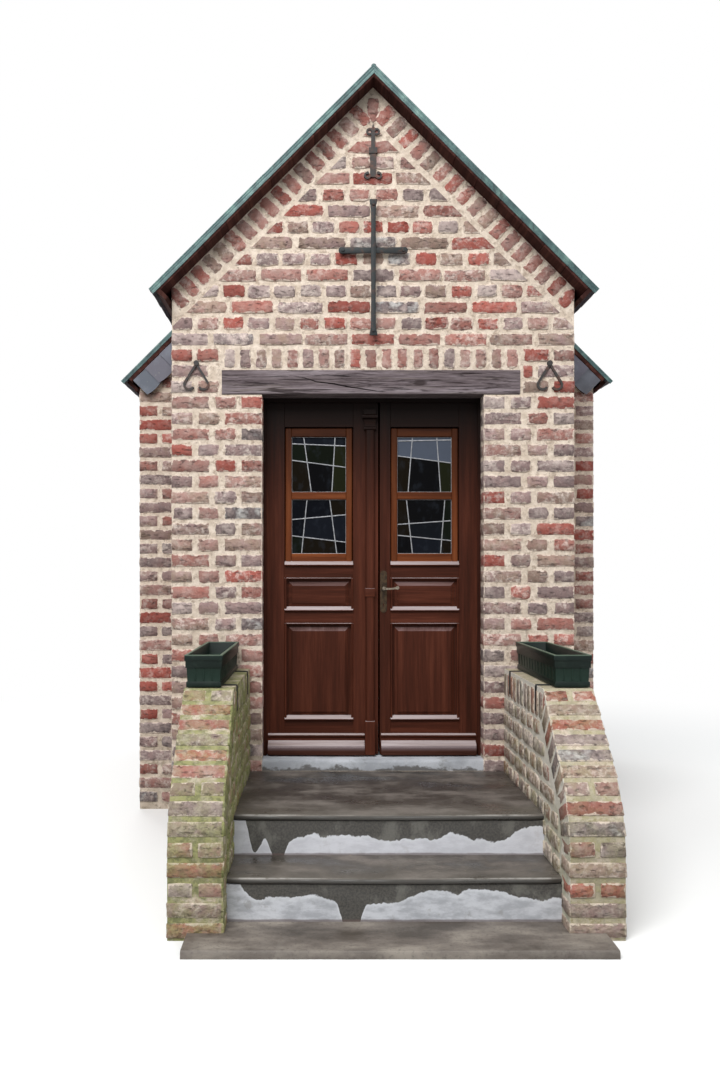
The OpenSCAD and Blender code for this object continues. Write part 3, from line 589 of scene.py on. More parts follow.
def dress(material, *nodes):
    """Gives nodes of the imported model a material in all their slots."""
    for name in nodes:
        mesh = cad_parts[name].data
        if not mesh.materials:
            mesh.materials.append(material)
        for index in range(len(mesh.materials)):
            mesh.materials[index] = material


dress(mortar, "front_wall_left", "front_wall_right", "front_gable", "side_walls", "shoulder_walls",
      "nave_walls", "back_wall", "doorway_base")
dress(mossy_mortar, "cheek_walls", "cheek_copings")

# %% [markdown]
# ## One brick, modelled once
# A face brick shows only its front. It starts as a grid, its outline is pushed about a little, it is
# drawn back into the wall, and its front edge is worn round. A whole brick is needed at corners and
# on the cheek walls, and starts as a cube. A few of each are enough, because every copy is turned,
# stretched and coloured in its own way.

# %% Model the bricks
STRETCHER, HEADER, BRICK_HIGH, JOINT = 0.226, 0.106, 0.063, 0.020
CORNER_LONG, CORNER_DEEP = 0.18, 0.11
BEDDED = 0.016
WORN = 0.003
dice = random.Random(11)


def either_way(amount):
    """A random number up to an amount on either side of zero."""
    return dice.uniform(-amount, amount)


def measure_rim(piece, half_x, half_y, half_z):
    """Keeps on each point how far it lies inside a brick's sides, for the mortar smeared on its rim."""
    field = piece.data.attributes.new("rim", "FLOAT_VECTOR", "POINT")
    for point, kept in zip(piece.data.vertices, field.data):
        kept.vector = [max(0.0, half - abs(value)) if half else 0.0
                       for half, value in zip((half_x, half_y, half_z), point.co)]
    return piece


def key_of(place):
    """A point's place in rounded numbers, to know it again after its mesh is merged."""
    return tuple(round(c, 5) for c in place)


def face_brick(length):
    """A brick that faces -Y, with its front at Y = 0 and its back bedded in the wall."""
    made = primitive(bpy.ops.mesh.primitive_grid_add, "face_brick", x_subdivisions=4,
                     y_subdivisions=2, size=1)
    made.rotation_euler = (math.radians(90), 0, 0)
    made.scale = (length, BRICK_HIGH, 1)
    apply_place(made)
    for point in made.data.vertices:
        on_end = abs(abs(point.co.x) - length / 2) < 1e-4
        on_edge = abs(abs(point.co.z) - BRICK_HIGH / 2) < 1e-4
        worn_x, worn_z = (0.0045, 0.004) if on_end and on_edge else (0, 0)
        point.co.x += either_way(0.005) - math.copysign(worn_x, point.co.x)
        point.co.z += either_way(0.0036) - math.copysign(worn_z, point.co.z)
        if not (on_end or on_edge):
            point.co.y += dice.uniform(-0.0012, 0.0008)
    edit(made)
    draw_out(made, (0, BEDDED, 0))
    rim = set()
    for face in made.data.polygons:
        if abs(face.normal.y) < 0.5:
            places = [made.data.vertices[index].co for index in face.vertices]
            rim.update(key_of(place) for place in places if place.y < BEDDED / 2)
    tidy_normals(made)
    soften(made, WORN, 1, lambda a, b: key_of(a) in rim and key_of(b) in rim)
    return measure_rim(smooth(made, 50), length / 2, 0, BRICK_HIGH / 2)


def whole_brick(x, y, z):
    """A worn brick about the origin, uneven on every side."""
    halves = (x / 2, y / 2, z / 2)
    made = block("whole_brick", [-half for half in halves], halves)
    edit(made)
    bpy.ops.mesh.subdivide(number_cuts=1)
    done(made)
    for point in made.data.vertices:
        point.co += Vector([either_way(0.0018) for _ in range(3)])

    def is_corner_edge(a, b):
        middle = (a + b) / 2
        return sum(abs(abs(at) - half) < 0.004 for at, half in zip(middle, halves)) >= 2

    soften(made, 0.004, 1, is_corner_edge)
    return measure_rim(smooth(tidy_normals(made), 50), *halves)


stretchers = [face_brick(STRETCHER) for _ in range(5)]
headers = [face_brick(HEADER) for _ in range(5)]
corner_bricks = [whole_brick(CORNER_LONG, CORNER_DEEP, BRICK_HIGH) for _ in range(4)]
print("face bricks:", len(stretchers) + len(headers), "whole bricks:", len(corner_bricks))

# %% [markdown]
# ## Laying bricks
# A wall face has a starting point, a direction along the wall and a direction out of it. A copy of a
# brick is stretched to the length that its course needs, set a few millimetres proud, and given its
# own colour numbers.

# %% Lay a brick
def brick_tone(moss=0.0, reds=0.25, film=0.0):
    """Colour, bloom, lightness and moss of one brick."""
    kind = dice.random()
    if kind < reds:
        colour = dice.uniform(0.02, 0.26)
    elif kind < 0.88:
        colour = dice.uniform(0.26, 0.72)
    else:
        colour = dice.uniform(0.74, 0.92)
    bloom = dice.choice([0.2, 0.35, 0.5, 0.65, 0.8, 1.0]) * (0.7 if colour < 0.2 else 1)
    return (colour, bloom + film, dice.random(), moss)


def set_tone(piece, tone):
    """Writes a piece's own numbers on every point of it."""
    field = piece.data.attributes.get("tone") or piece.data.attributes.new("tone", "FLOAT_COLOR", "POINT")
    field.data.foreach_set("color", list(tone) * len(piece.data.vertices))
    return piece


def put(parts, template, change, tone):
    """Adds a copy of a template, moved by a matrix, with numbers of its own."""
    parts.append(set_tone(copy_of(template, change), tone))


def turned(along, out):
    """The turn that carries a brick facing -Y to a wall face."""
    return Matrix((Vector(along), -Vector(out), Vector((0, 0, 1)))).transposed().to_4x4()


def side_face(x, y, out):
    """A wall face that looks left (-1) or right (1): its start, its direction and its way out."""
    return (x, y, 0), (0, out, 0), (out, 0, 0)


def lay(parts, face, u0, u1, z, reds=0.3, tone=None):
    """Lays one face brick between two distances along a wall face, at the height of its middle."""
    start, along, out = face
    long = u1 - u0 > 0.15
    template = dice.choice(stretchers if long else headers)
    stretched = (u1 - u0) / (STRETCHER if long else HEADER)
    flip = dice.choice([0, math.pi])
    place = Vector(start) + Vector(along) * (u0 + u1) / 2 + Vector((0, 0, z))
    place += Vector(out) * dice.uniform(0.0025, 0.0065)
    change = (placed(*place) @ turned(along, out) @ spun(either_way(0.008), "Y") @ spun(flip, "Y")
              @ scaled(stretched, 1, dice.uniform(0.93, 1.03)))
    put(parts, template, change, tone or brick_tone(0.0, reds))


def row_of(parts, face, u0, u1, z, nominal, moss=0.0, keep=None, reds=0.3, film=0.0):
    """Fills a course between two distances with bricks of about one length."""
    count = max(1, round((u1 - u0 + JOINT) / (nominal + JOINT)))
    pitch = (u1 - u0 + JOINT) / count
    for index in range(count):
        left = u0 + index * pitch
        right = left + pitch - JOINT
        if left > u0 + 0.01:
            left += either_way(0.005)
        if right < u1 - 0.01:
            right += either_way(0.005)
        if keep is None or keep(left, right, z):
            lay(parts, face, left, right, z + either_way(0.002),
                tone=brick_tone(moss * dice.uniform(0.6, 1.3), reds, film))


def corner(parts, side, half, y, out_y, z, long_x, long_y, reds=0.3):
    """Lays a whole brick in an outer corner, long_x on one face and long_y on the other."""
    proud = dice.uniform(0.002, 0.004)
    template = dice.choice(corner_bricks)
    place = (side * half + side * (proud - long_x / 2), y + out_y * (proud - long_y / 2), z)
    fit = scaled(long_x / CORNER_LONG, long_y / CORNER_DEEP, dice.uniform(0.95, 1.02))
    put(parts, template, placed(*place) @ fit, brick_tone(0, reds))


# %% [markdown]
# ## The courses
# Courses of stretchers and of headers take turns. The heights are counted from one course above the
# lintel, 79 mm a course below it and 80 mm above it. At an outer corner a stretcher on one face is a
# header on the other, and the next course is the other way about.

# %% Course heights
HALF_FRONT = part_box("front_gable")[1].x
HALF_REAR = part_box("nave_walls")[1].x
HALF_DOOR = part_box("front_wall_right")[0].x
SHOULDER_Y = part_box("shoulder_walls")[0].y
BACK_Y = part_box("back_wall")[1].y
APEX_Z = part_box("front_gable")[1].z
LINTEL_LOW, LINTEL_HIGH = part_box("lintel_beam")
THREE_QUARTER = 0.185
ALONG = {True: STRETCHER, False: HEADER}
AT_CORNER = {True: HEADER, False: STRETCHER}
FIRST = {True: THREE_QUARTER, False: HEADER}
FIRST_COURSE_Z = 2.5195
COURSE_BELOW, COURSE_ABOVE = 0.079, 0.0803
courses = [(k % 2 == 0, FIRST_COURSE_Z - COURSE_BELOW * k) for k in range(31, 0, -1)]
courses += [(k % 2 == 0, FIRST_COURSE_Z + COURSE_ABOVE * k) for k in range(15)]
print(len(courses), "courses from", round(courses[0][1], 3), "to", round(courses[-1][1], 3))

# %% [markdown]
# ## The front wall
# The two piers beside the doorway are 450 mm wide, which is a three-quarter brick and two headers, in
# an order that changes with each course. Above the lintel a row of bricks stands on end, and the
# gable fills up with plain courses. The courses stop at the piers, the lintel and the cheek walls.

# %% Lay the front wall
STAIR_X = 0.02
CHEEK_IN, CHEEK_OUT, CHEEK_LEVEL = 0.637, 0.842, 0.84
PIER_WIDE, PIER_LONG, JAMB_DEEP = 0.450, 0.190, 0.095
BAND_DEEP = 0.118
RAKE = BAND_DEEP + 0.020
ON_END_TOP = LINTEL_HIGH.z + 0.110
front = ((0, FRONT_Y, 0), (1, 0, 0), (0, -1, 0))


def slope_half(z, inward=0.0):
    """Half the width of the gable at a height, less a distance measured square to the slope."""
    return APEX_Z - z - inward * math.sqrt(2)


def behind_cheeks(left, right, z):
    """True where a front brick would be buried behind a cheek wall."""
    inner = [abs(u - STAIR_X) for u in (left, right)]
    return z < CHEEK_LEVEL and min(inner) > CHEEK_IN and max(inner) < CHEEK_OUT


front_parts = []
for even, z in courses:
    if z > APEX_Z - 0.16:
        continue
    if z < LINTEL_LOW.z:
        lengths = (PIER_LONG, HEADER, HEADER) if even else (HEADER, HEADER, PIER_LONG)
        for side in (-1, 1):
            out_edge = HALF_FRONT
            for index, long in enumerate(lengths):
                in_edge = out_edge - long
                left, right = sorted((side * out_edge, side * in_edge))
                out_edge = in_edge - (PIER_WIDE - sum(lengths)) / 2
                if behind_cheeks(left, right, z):
                    continue
                if index == 0:
                    corner(front_parts, side, HALF_FRONT, FRONT_Y, -1, z, long, AT_CORNER[even], 0.16)
                elif index == 2:
                    proud = dice.uniform(0.001, 0.003)
                    template = dice.choice(corner_bricks)
                    place = (side * (HALF_DOOR - proud + long / 2), FRONT_Y - proud + JAMB_DEEP / 2, z)
                    fit = scaled(long / CORNER_LONG, JAMB_DEEP / CORNER_DEEP, 1)
                    put(front_parts, template, placed(*place) @ fit, brick_tone(0, 0.14))
                else:
                    lay(front_parts, front, left, right, z, 0.14)
        continue
    half = min(HALF_FRONT, slope_half(z, RAKE) + 0.05)
    spans = [(-half, half)]
    if z < APEX_Z - HALF_FRONT - 0.18:
        for side in (-1, 1):
            corner(front_parts, side, HALF_FRONT, FRONT_Y, -1, z, FIRST[even], AT_CORNER[even], 0.26)
        inner = half - FIRST[even] - JOINT
        spans = [(-inner, inner)]
    if z < ON_END_TOP + 0.02:
        inner = HALF_FRONT - FIRST[even] - JOINT
        spans = [(-inner, LINTEL_LOW.x - 0.014), (LINTEL_HIGH.x + 0.014, inner)]
    for left, right in spans:
        if right - left > 0.05:
            row_of(front_parts, front, left, right, z, ALONG[even], reds=0.25)

print("front bricks:", len(front_parts))

# %% [markdown]
# The courses of the gable run on past the slope, and are then cut along it, as a bricklayer cuts
# bricks to a rake. The cut is made in edit mode with bisect, which also closes the cut faces.

# %% Cut the gable and add the bricks on end
def cut_to_rake(piece, inward):
    """Cuts a piece along both slopes of the gable and clears what is outside."""
    for side in (-1, 1):
        cut_off(piece, (0, 0, slope_half(0, inward)), (side, 0, 1))
    return piece


front_bricks = cut_to_rake(join(front_parts, "front_face_bricks"), RAKE)
on_end = []
ON_END_COUNT = 19
pitch = (LINTEL_HIGH.x - LINTEL_LOW.x) / ON_END_COUNT
for index in range(ON_END_COUNT):
    x = LINTEL_LOW.x + (index + 0.5) * pitch
    long, wide = 0.098 + either_way(0.003), 0.054 + either_way(0.004)
    change = (placed(x, FRONT_Y - dice.uniform(0.0015, 0.0045), LINTEL_HIGH.z + 0.058)
              @ spun(math.pi / 2 + either_way(0.03), "Y") @ scaled(long / HEADER, 1, wide / BRICK_HIGH))
    put(on_end, dice.choice(headers), change, brick_tone(0, 0.15))

# %% [markdown]
# Along both slopes runs a band of bricks on edge, square to the roof, with one upright brick in the
# apex where the two bands meet.

# %% Lay the band along the slopes
BAND_PITCH = 0.0805
BAND_START = 0.105
for side in (-1, 1):
    for index in range(int((HALF_FRONT * math.sqrt(2) + 0.05) / BAND_PITCH)):
        down = BAND_START + (index + 0.5) * BAND_PITCH
        deep = BAND_DEEP - 0.006 + either_way(0.004)
        middle = Vector((side * down / math.sqrt(2), 0, APEX_Z - down / math.sqrt(2)))
        middle += Vector((-side, 0, -1)).normalized() * deep / 2
        if abs(middle.x) > HALF_FRONT + 0.02:
            continue
        change = (placed(middle.x, FRONT_Y - dice.uniform(0.0015, 0.0045), middle.z)
                  @ spun(-side * math.pi / 4 + either_way(0.02), "Y")
                  @ scaled(deep / HEADER, 1, dice.uniform(0.92, 1.0)))
        tone = (dice.uniform(0.14, 0.44), dice.uniform(0.2, 0.8), dice.random(), 0)
        put(on_end, dice.choice(headers), change, tone)
put(on_end, headers[0], placed(0, FRONT_Y - 0.003, APEX_Z - 0.110)
    @ spun(math.pi / 2, "Y") @ scaled(1.15, 1, 1), (0.3, 0.3, 0.4, 0))
on_end_bricks = join(on_end, "gable_band_bricks")
for side in (-1, 1):
    cut_off(on_end_bricks, (side * (HALF_FRONT + 0.002), 0, 0), (side, 0, 0))
for piece in (front_bricks, on_end_bricks):
    hand_over(paint(piece, brick), "building", "brickwork")

# %% [markdown]
# ## The other walls
# The sides, the two shoulders and the back are laid the same way. No photograph shows them, so they
# follow the bond of the front. At each outer corner the courses fit the bricks of the next face.

# %% Lay the side, shoulder and back walls
side_parts, shoulder_parts, rear_side_parts, back_parts = [], [], [], []
for even, z in courses:
    past_corner = AT_CORNER[even] + JOINT
    under_rear = z < APEX_Z - HALF_REAR - 0.03
    for side in (-1, 1):
        if z < APEX_Z - HALF_FRONT - 0.02:
            ends = sorted((side * past_corner, side * (SHOULDER_Y - FRONT_Y)))
            row_of(side_parts, side_face(side * HALF_FRONT, FRONT_Y, side), *ends, z, ALONG[even])
            reach = min(HALF_REAR, slope_half(z) - 0.01) - (FIRST[even] + JOINT if under_rear else 0)
            ends = sorted((side * (HALF_FRONT + 0.004), side * reach))
            if ends[1] - ends[0] > 0.05:
                row_of(shoulder_parts, ((0, SHOULDER_Y, 0), (1, 0, 0), (0, -1, 0)), *ends, z,
                       STRETCHER if ends[1] - ends[0] > 0.2 else HEADER)
            if under_rear:
                corner(shoulder_parts, side, HALF_REAR, SHOULDER_Y, -1, z, FIRST[even], AT_CORNER[even])
        if under_rear:
            ends = sorted((side * past_corner, side * (BACK_Y - SHOULDER_Y - past_corner)))
            row_of(rear_side_parts, side_face(side * HALF_REAR, SHOULDER_Y, side), *ends, z, ALONG[even])
            corner(back_parts, side, HALF_REAR, BACK_Y, 1, z, FIRST[even], AT_CORNER[even])
    if z < APEX_Z - 0.04:
        reach = HALF_REAR - FIRST[even] - JOINT if under_rear else slope_half(z) + 0.04
        row_of(back_parts, ((0, BACK_Y, 0), (-1, 0, 0), (0, 1, 0)), -reach, reach, z, ALONG[even])

for piece in (cut_to_rake(join(back_parts, "back_face_bricks"), 0.004),
              cut_to_rake(join(shoulder_parts, "shoulder_face_bricks"), 0.004),
              join(side_parts, "side_face_bricks"), join(rear_side_parts, "rear_side_face_bricks")):
    hand_over(paint(piece, brick), "building", "brickwork")

# %% [markdown]
# ## The cheek walls
# Each cheek wall ends in a sweep of bricks on edge, laid square to the curve, from the flat top down
# to the ground. A course across the wall is one stretcher or two headers. They are whole bricks, so
# the sides of the wall show their narrow faces fanning out round the curve.

# %% Lay the sweep of the cheek walls
CHEEK_OUT_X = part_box("cheek_walls")[1].x
CHEEK_MID = (CHEEK_OUT_X - STAIR_X + TREAD_HIGH.x - STAIR_X) / 2
CHEEK_WIDE = CHEEK_OUT_X - TREAD_HIGH.x
CHEEK_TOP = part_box("cheek_copings")[1].z
CHEEK_FOOT_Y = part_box("cheek_copings")[0].y
SWEEP_R, SWEEP_Z = 0.420, 0.297
FALL = math.radians(43)
COPING = 0.135
CAP = 0.014
sweep_y = CHEEK_FOOT_Y + SWEEP_R
turn = math.pi / 2 - FALL
turn_y, turn_z = sweep_y - SWEEP_R * math.cos(turn), SWEEP_Z + SWEEP_R * math.sin(turn)
shoulder_y = turn_y + (CHEEK_TOP - turn_z) / math.tan(FALL)
straight = math.hypot(shoulder_y - turn_y, CHEEK_TOP - turn_z)
arc_long = SWEEP_R * turn
SWEEP_COUNT = 14
SWEEP_PITCH = (SWEEP_Z + arc_long + straight) / SWEEP_COUNT
PAIRS = (2, 4, 7, 13)
COPING_DEEP, COPING_HIGH, COPING_HALF = 0.125, 0.060, 0.092
FLAT_PITCH = 0.078


def on_sweep(distance):
    """Place and outward direction, in Y and Z, at a distance up the sweep from the ground."""
    if distance < SWEEP_Z:
        return (CHEEK_FOOT_Y, distance), (-1, 0)
    if distance < SWEEP_Z + arc_long:
        angle = (distance - SWEEP_Z) / SWEEP_R
        out = (-math.cos(angle), math.sin(angle))
        return (sweep_y + out[0] * SWEEP_R, SWEEP_Z + out[1] * SWEEP_R), out
    up = distance - SWEEP_Z - arc_long
    out = (-math.cos(turn), math.sin(turn))
    return (turn_y + up * math.sin(turn), turn_z + up * math.cos(turn)), out


coping_whole = [whole_brick(CHEEK_WIDE, COPING_DEEP, COPING_HIGH) for _ in range(3)]
coping_half = [whole_brick(COPING_HALF, COPING_DEEP, COPING_HIGH) for _ in range(3)]
cheek_parts = {-1: [], 1: []}
for side, parts in cheek_parts.items():
    x = STAIR_X + side * CHEEK_MID
    damp, reds = (0.56, 0.22) if side < 0 else (0.26, 0.42)
    for index in range(SWEEP_COUNT):
        (y, z), (out_y, out_z) = on_sweep((index + 0.5) * SWEEP_PITCH)
        lean = math.atan2(out_z, -out_y)
        inset = COPING_DEEP / 2 - dice.uniform(0.002, 0.005)
        place = Vector((x, y - out_y * inset, z - out_z * inset))
        lean_on = spun(-lean + either_way(0.02), "X")
        fit = scaled(1, 1, SWEEP_PITCH / FLAT_PITCH * dice.uniform(0.93, 1.0))
        moss = damp * dice.uniform(0.5, 1.4)
        across = [(coping_whole, 0, (CHEEK_WIDE + 0.006) / CHEEK_WIDE)]
        if index in PAIRS:
            across = [(coping_half, half * (CHEEK_WIDE / 4 + 0.005), 1) for half in (-1, 1)]
        for templates, shift, wide in across:
            put(parts, dice.choice(templates), Matrix.Translation(place + Vector((shift, 0, 0)))
                @ lean_on @ fit @ scaled(wide, 1, 1), brick_tone(moss, reds))
    flat_long = FRONT_Y - shoulder_y
    flat_count = round(flat_long / FLAT_PITCH)
    for index in range(flat_count):
        y = shoulder_y + (index + 0.55) * flat_long / flat_count
        for face in (-1, 1):
            place = Vector((x + face * (CHEEK_WIDE / 2 + dice.uniform(0.0015, 0.004)), y,
                            CHEEK_TOP - CAP - 0.058))
            change = (placed(*place) @ turned((0, face, 0), (face, 0, 0))
                      @ spun(math.pi / 2, "Y") @ scaled(0.112 / HEADER, 1, dice.uniform(0.86, 0.97)))
            moss = damp * (1.2 if face * side < 0 else 0.7)
            put(parts, dice.choice(headers), change, brick_tone(moss, 0.12, 0.4))

# %% [markdown]
# Below the sweep both sides of a cheek wall are laid in level courses that stop where the fan of
# bricks begins. The inner faces are hidden behind the steps lower down, so those bricks are left out.

# %% Lay the sides of the cheek walls
def body_front(z):
    """Where the level courses of a cheek wall end at a height, as a Y."""
    r = SWEEP_R - COPING - 0.012
    if z > CHEEK_TOP - CAP - 0.120:
        return None
    if z <= SWEEP_Z:
        return sweep_y - r
    if z <= SWEEP_Z + r * math.sin(turn):
        return sweep_y - math.sqrt(max(r * r - (z - SWEEP_Z) ** 2, 0))
    edge_y, edge_z = sweep_y - r * math.cos(turn), SWEEP_Z + r * math.sin(turn)
    return edge_y + (z - edge_z) / math.tan(FALL)


for side, side_name in SIDES:
    parts = cheek_parts[side]
    x = STAIR_X + side * CHEEK_MID
    for even, z in courses:
        ends_y = [body_front(z + dz) for dz in (-0.03, 0.03)]
        if None in ends_y:
            continue
        for face in (-1, 1):
            inner_face = face * side < 0
            moss = (1.7 if side < 0 else 0.40) if inner_face else (0.35 if side < 0 else 0.15)
            film = 1.7 if inner_face and side > 0 else 0.0

            def above_steps(left, right, height, face=face, inner_face=inner_face):
                near = min(face * left, face * right)
                step = 0.33 if near > -1.50 else (0.17 if near > -1.80 else 0.02)
                return not inner_face or height > step - 0.02

            ends = sorted((face * max(ends_y), face * (FRONT_Y - 0.004)))
            row_of(parts, side_face(x + face * CHEEK_WIDE / 2, 0, face), *ends, z, ALONG[even], moss,
                   above_steps, 0.10, film)
    finish(parts, side_name + "_cheek_bricks", brick, "building", "brickwork")
remove(*coping_whole, *coping_half)

# %% [markdown]
# ## Slate, copper and dark roof wood
# Split slate is blue-grey with a faint mauve sheen and thin ridges along the split. The copper trims
# have gone green, paler where rain runs off them. The boards under the roof are stained dark brown.
# The recipe for wood is used for every timber here: it draws noise out along the grain, and each
# board carries its own offset, grain direction and lightness on its points.

# %% Slate, copper and wood
def make_slate(name):
    made, place, _ = finish_of(name, 0.5, Specular_IOR_Level=0.45)
    own, pick_at, _, _, _ = own_numbers(place)
    where = moved(place, own, 5.0)
    broad = grain_noise(where, 9, 5)
    ridges = grain_noise(stretch(where, 60, 12, 12), 1.0, 6, 0.6)
    colour = ramp(pick_at, [(0.0, (66, 72, 84)), (0.4, (84, 90, 102)), (0.7, (90, 87, 100)),
                            (1.0, (74, 78, 84))])
    colour = layer(patches(broad, 0.45, 0.7) * 0.5, colour, (112, 118, 130))
    speck = patches(grain_noise(place, 60, 6, 0.7), 0.62, 0.7)
    colour = layer(speck * 0.5, colour, (150, 156, 140))
    return connect(made, colour, bump(ridges + broad * 0.5, 0.5, 0.002))


def make_verdigris(name):
    made, place, _ = finish_of(name, 0.42, Metallic=0.3)
    cloud = grain_noise(place, 14, 6, 0.65)
    runs = grain_noise(stretch(place, 40, 40, 8), 1.0, 5, 0.6)
    colour = ramp(cloud, [(0.28, (38, 58, 60)), (0.48, (58, 84, 84)), (0.64, (86, 114, 109)),
                          (0.82, (144, 168, 160))])
    colour = layer(patches(runs, 0.52, 0.68) * 0.7, colour, (34, 46, 48))
    return connect(made, colour, bump(cloud, 0.3, 0.002))


def make_wood(name, dark, middle, light, roughness, relief=0.4, weather=0.0, shade=0.0, knots=(),
              bleach_and_sheen_band=None):
    """Wood whose grain runs along X, Y or Z, as each board's own numbers say. It can take painted shade
    towards a door head, and a pale band of weathering and painted sheen.
    """
    made, place, (x, _, z) = finish_of(name, roughness, Specular_IOR_Level=0.08)
    _, offset, direction, light_at, _ = own_numbers(place)
    where = moved(place, wire(place.tree, "CombineXYZ", X=offset, Y=offset, Z=offset), 7.0)
    along = stretch(where, 34, 34, 1.6)
    for chosen, drawn_out in ((between(direction, 0.25, 0.75), (1.6, 34, 34)),
                              (direction > 0.75, (34, 1.6, 34))):
        along = wire(place.tree, "Mix", {"data_type": "VECTOR"}, 1, i0=chosen, i4=along,
                     i5=stretch(where, *drawn_out))
    warped = grain_noise(along, 0.6, 2)
    rings = grain_noise(along, 1.0, 6, 0.62)
    fibre = grain_noise(along, 5.5, 4, 0.7)
    fine_part = 0.5 if weather else 0.25
    colour = ramp(rings * (1 - fine_part) + fibre * fine_part, [(0.32, dark), (0.5, middle), (0.68, light)])
    colour = lightened(colour, light_at * 0.4 + 0.8)
    # painted shade: the wood goes near black towards the door head, where the lintel shades it
    if shade:
        colour = layer(patches(z, 1.55, 2.20) * shade, colour, (7, 4, 3))
    if weather:
        worn = patches(grain_noise(along, 1.7, 7, 0.75), 0.5, 0.66)
        colour = layer(worn * weather, colour, (132, 122, 112))
        checks = patches(grain_noise(along, 1.3, 3, 0.5), 0.60, 0.63)
        colour = layer(checks * 0.75, colour, (38, 30, 30))
        hair = patches(abs(grain_noise(along, 1.2, 5, 0.6) - 0.5), 0.034, 0.006)
        colour = layer(hair * 0.75, colour, (40, 32, 33))
    for knot_x, knot_z in knots:
        away = abs((x - knot_x) * 22) ** 2.0 + abs((z - knot_z) * 52) ** 2.0 + fibre * 0.6
        colour = layer(patches(away, 1.2, 0.5) * 0.8, colour, (46, 37, 37))
    # paler towards the top of a band: weathering, and painted sheen on the upper curve of the rail
    if bleach_and_sheen_band:
        colour = layer(patches(z, *bleach_and_sheen_band) * 0.76, colour, (146, 134, 138))
    return connect(made, colour, bump(fibre + warped * 0.4, relief, 0.002))


slate = make_slate("blue_grey_slate")
verdigris = make_verdigris("green_copper_trim")
roof_wood = make_wood("dark_roof_boards", (40, 22, 20), (62, 36, 32), (88, 56, 48), 0.8, 0.6)
UPRIGHT, LEVEL, DEEP = 0.0, 0.5, 1.0


def board(name, low, high, grain, soft=0.0015):
    """A board between two corners with softened edges and its own numbers for the wood."""
    made = soften(block(name, low, high), soft)
    shade = dice.random()
    return set_tone(made, (dice.random(), grain, shade, 0))


print("finishes:", slate.name, verdigris.name, roof_wood.name)

# %% [markdown]
# ## Places on the roof
# Both slopes fall at 45 degrees. A place on one is given by its distance down the slope from the
# ridge, its distance along the building and its depth below the top of the trims. The turn that goes
# with it carries a piece drawn flat on to the slope.

# %% Measure the roof
PITCH = math.radians(45)
RIDGE_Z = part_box("ridge_cap")[1].z
TRIM = 0.004
SLATE_THICK = 0.018
BOARD_THICK = 0.024
BOARD_UNDER = TRIM + SLATE_THICK + BOARD_THICK
ROOF_LOW, ROOF_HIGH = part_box("verge_trims")
ROOF_FRONT_Y, ROOF_BACK_Y = ROOF_LOW.y, ROOF_HIGH.y
WIDE_FRONT_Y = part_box("slate_bargeboards")[0].y - TRIM
WIDE_U = ROOF_HIGH.x / math.cos(PITCH)
SLATE_COURSE = 0.140
NARROW_U = WIDE_U - 3 * SLATE_COURSE


def slope_place(side, u, y, depth=0.0):
    """A place on the left (-1) or right (1) slope."""
    return Vector((side * (u * math.cos(PITCH) - depth * math.sin(PITCH)), y,
                   RIDGE_Z - u * math.sin(PITCH) - depth * math.cos(PITCH)))


def slope_turn(side):
    """The turn that carries +Y down the slope and +Z out of it."""
    down = Vector((side * math.cos(PITCH), 0, -math.sin(PITCH)))
    out = Vector((side * math.sin(PITCH), 0, math.cos(PITCH)))
    return Matrix((down.cross(out), down, out)).transposed().to_4x4()


print("the slope is", round(NARROW_U, 3), "m long over the gable,", round(WIDE_U, 3), "m over the chapel")

# %% [markdown]
# ## Slates
# One slate is a thin slab, a little uneven, with a worn tail. Three of them are modelled. Each course
# covers more than half of the course below, so every slate leans on the two under it. The lean is
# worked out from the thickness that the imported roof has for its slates.

# %% Model the slates
SLATE_WIDE, SLATE_LONG, SLATE_THIN = 0.197, 0.30, 0.0048
SLATE_PITCH = 0.200


def roof_slate():
    """A slate with its top at Z = 0 and its tail at Y = 0."""
    made = block("roof_slate", (-SLATE_WIDE / 2, -SLATE_LONG, -SLATE_THIN), (SLATE_WIDE / 2, 0, 0))
    edit(made)
    bpy.ops.mesh.subdivide(number_cuts=2)
    done(made)
    for point in made.data.vertices:
        point.co.x += either_way(0.0015)
        point.co.y += dice.uniform(-0.0030, 0.0)
        point.co.z += dice.uniform(-0.0004, 0.0002)
    soften(made, 0.0016, 1, lambda a, b: a.y > -0.006 and b.y > -0.006 and (a.z + b.z) / 2 > -0.002)
    return smooth(made, 15)


slates = [roof_slate() for _ in range(3)]
slate_lean = math.atan2(SLATE_THICK - SLATE_THIN - 0.0012, SLATE_LONG)

# %% Lay the slates
for side, name in SIDES:
    laid = []
    for row in range(int(WIDE_U / SLATE_COURSE) + 1):
        tail = WIDE_U - row * SLATE_COURSE
        long = min(1.0, (tail - 0.020) / SLATE_LONG)
        if long < 0.12:
            continue
        y0 = WIDE_FRONT_Y + 0.006 if tail > NARROW_U + 0.01 else ROOF_FRONT_Y + 0.006
        y1 = ROOF_BACK_Y - 0.006
        count = round((y1 - y0) / SLATE_PITCH)
        wide = (y1 - y0) / count
        starts = [y0 + (index - (0.5 if row % 2 else 0)) * wide for index in range(count + row % 2)]
        for start in starts:
            left, right = max(start, y0), min(start + wide, y1)
            if right - left < 0.03:
                continue
            place = slope_place(side, tail - dice.uniform(0, 0.004), (left + right) / 2, TRIM + 0.0002)
            change = (placed(*place) @ slope_turn(side)
                      @ spun(slate_lean + dice.uniform(-0.0015, 0), "X") @ spun(either_way(0.004), "Z")
                      @ scaled((right - left - 0.002) / SLATE_WIDE, long, 1))
            put(laid, dice.choice(slates), change, (dice.random(), dice.random(), dice.random(), 0))
    finish(laid, name + "_roof_slates", slate, "building", "slate", "roof_slates_" + name)
remove(*slates)

# %% [markdown]
# Boards as wide as a hand run along the building under the slates. They show from below at the eaves
# and where the roof stands out in front of the gable.

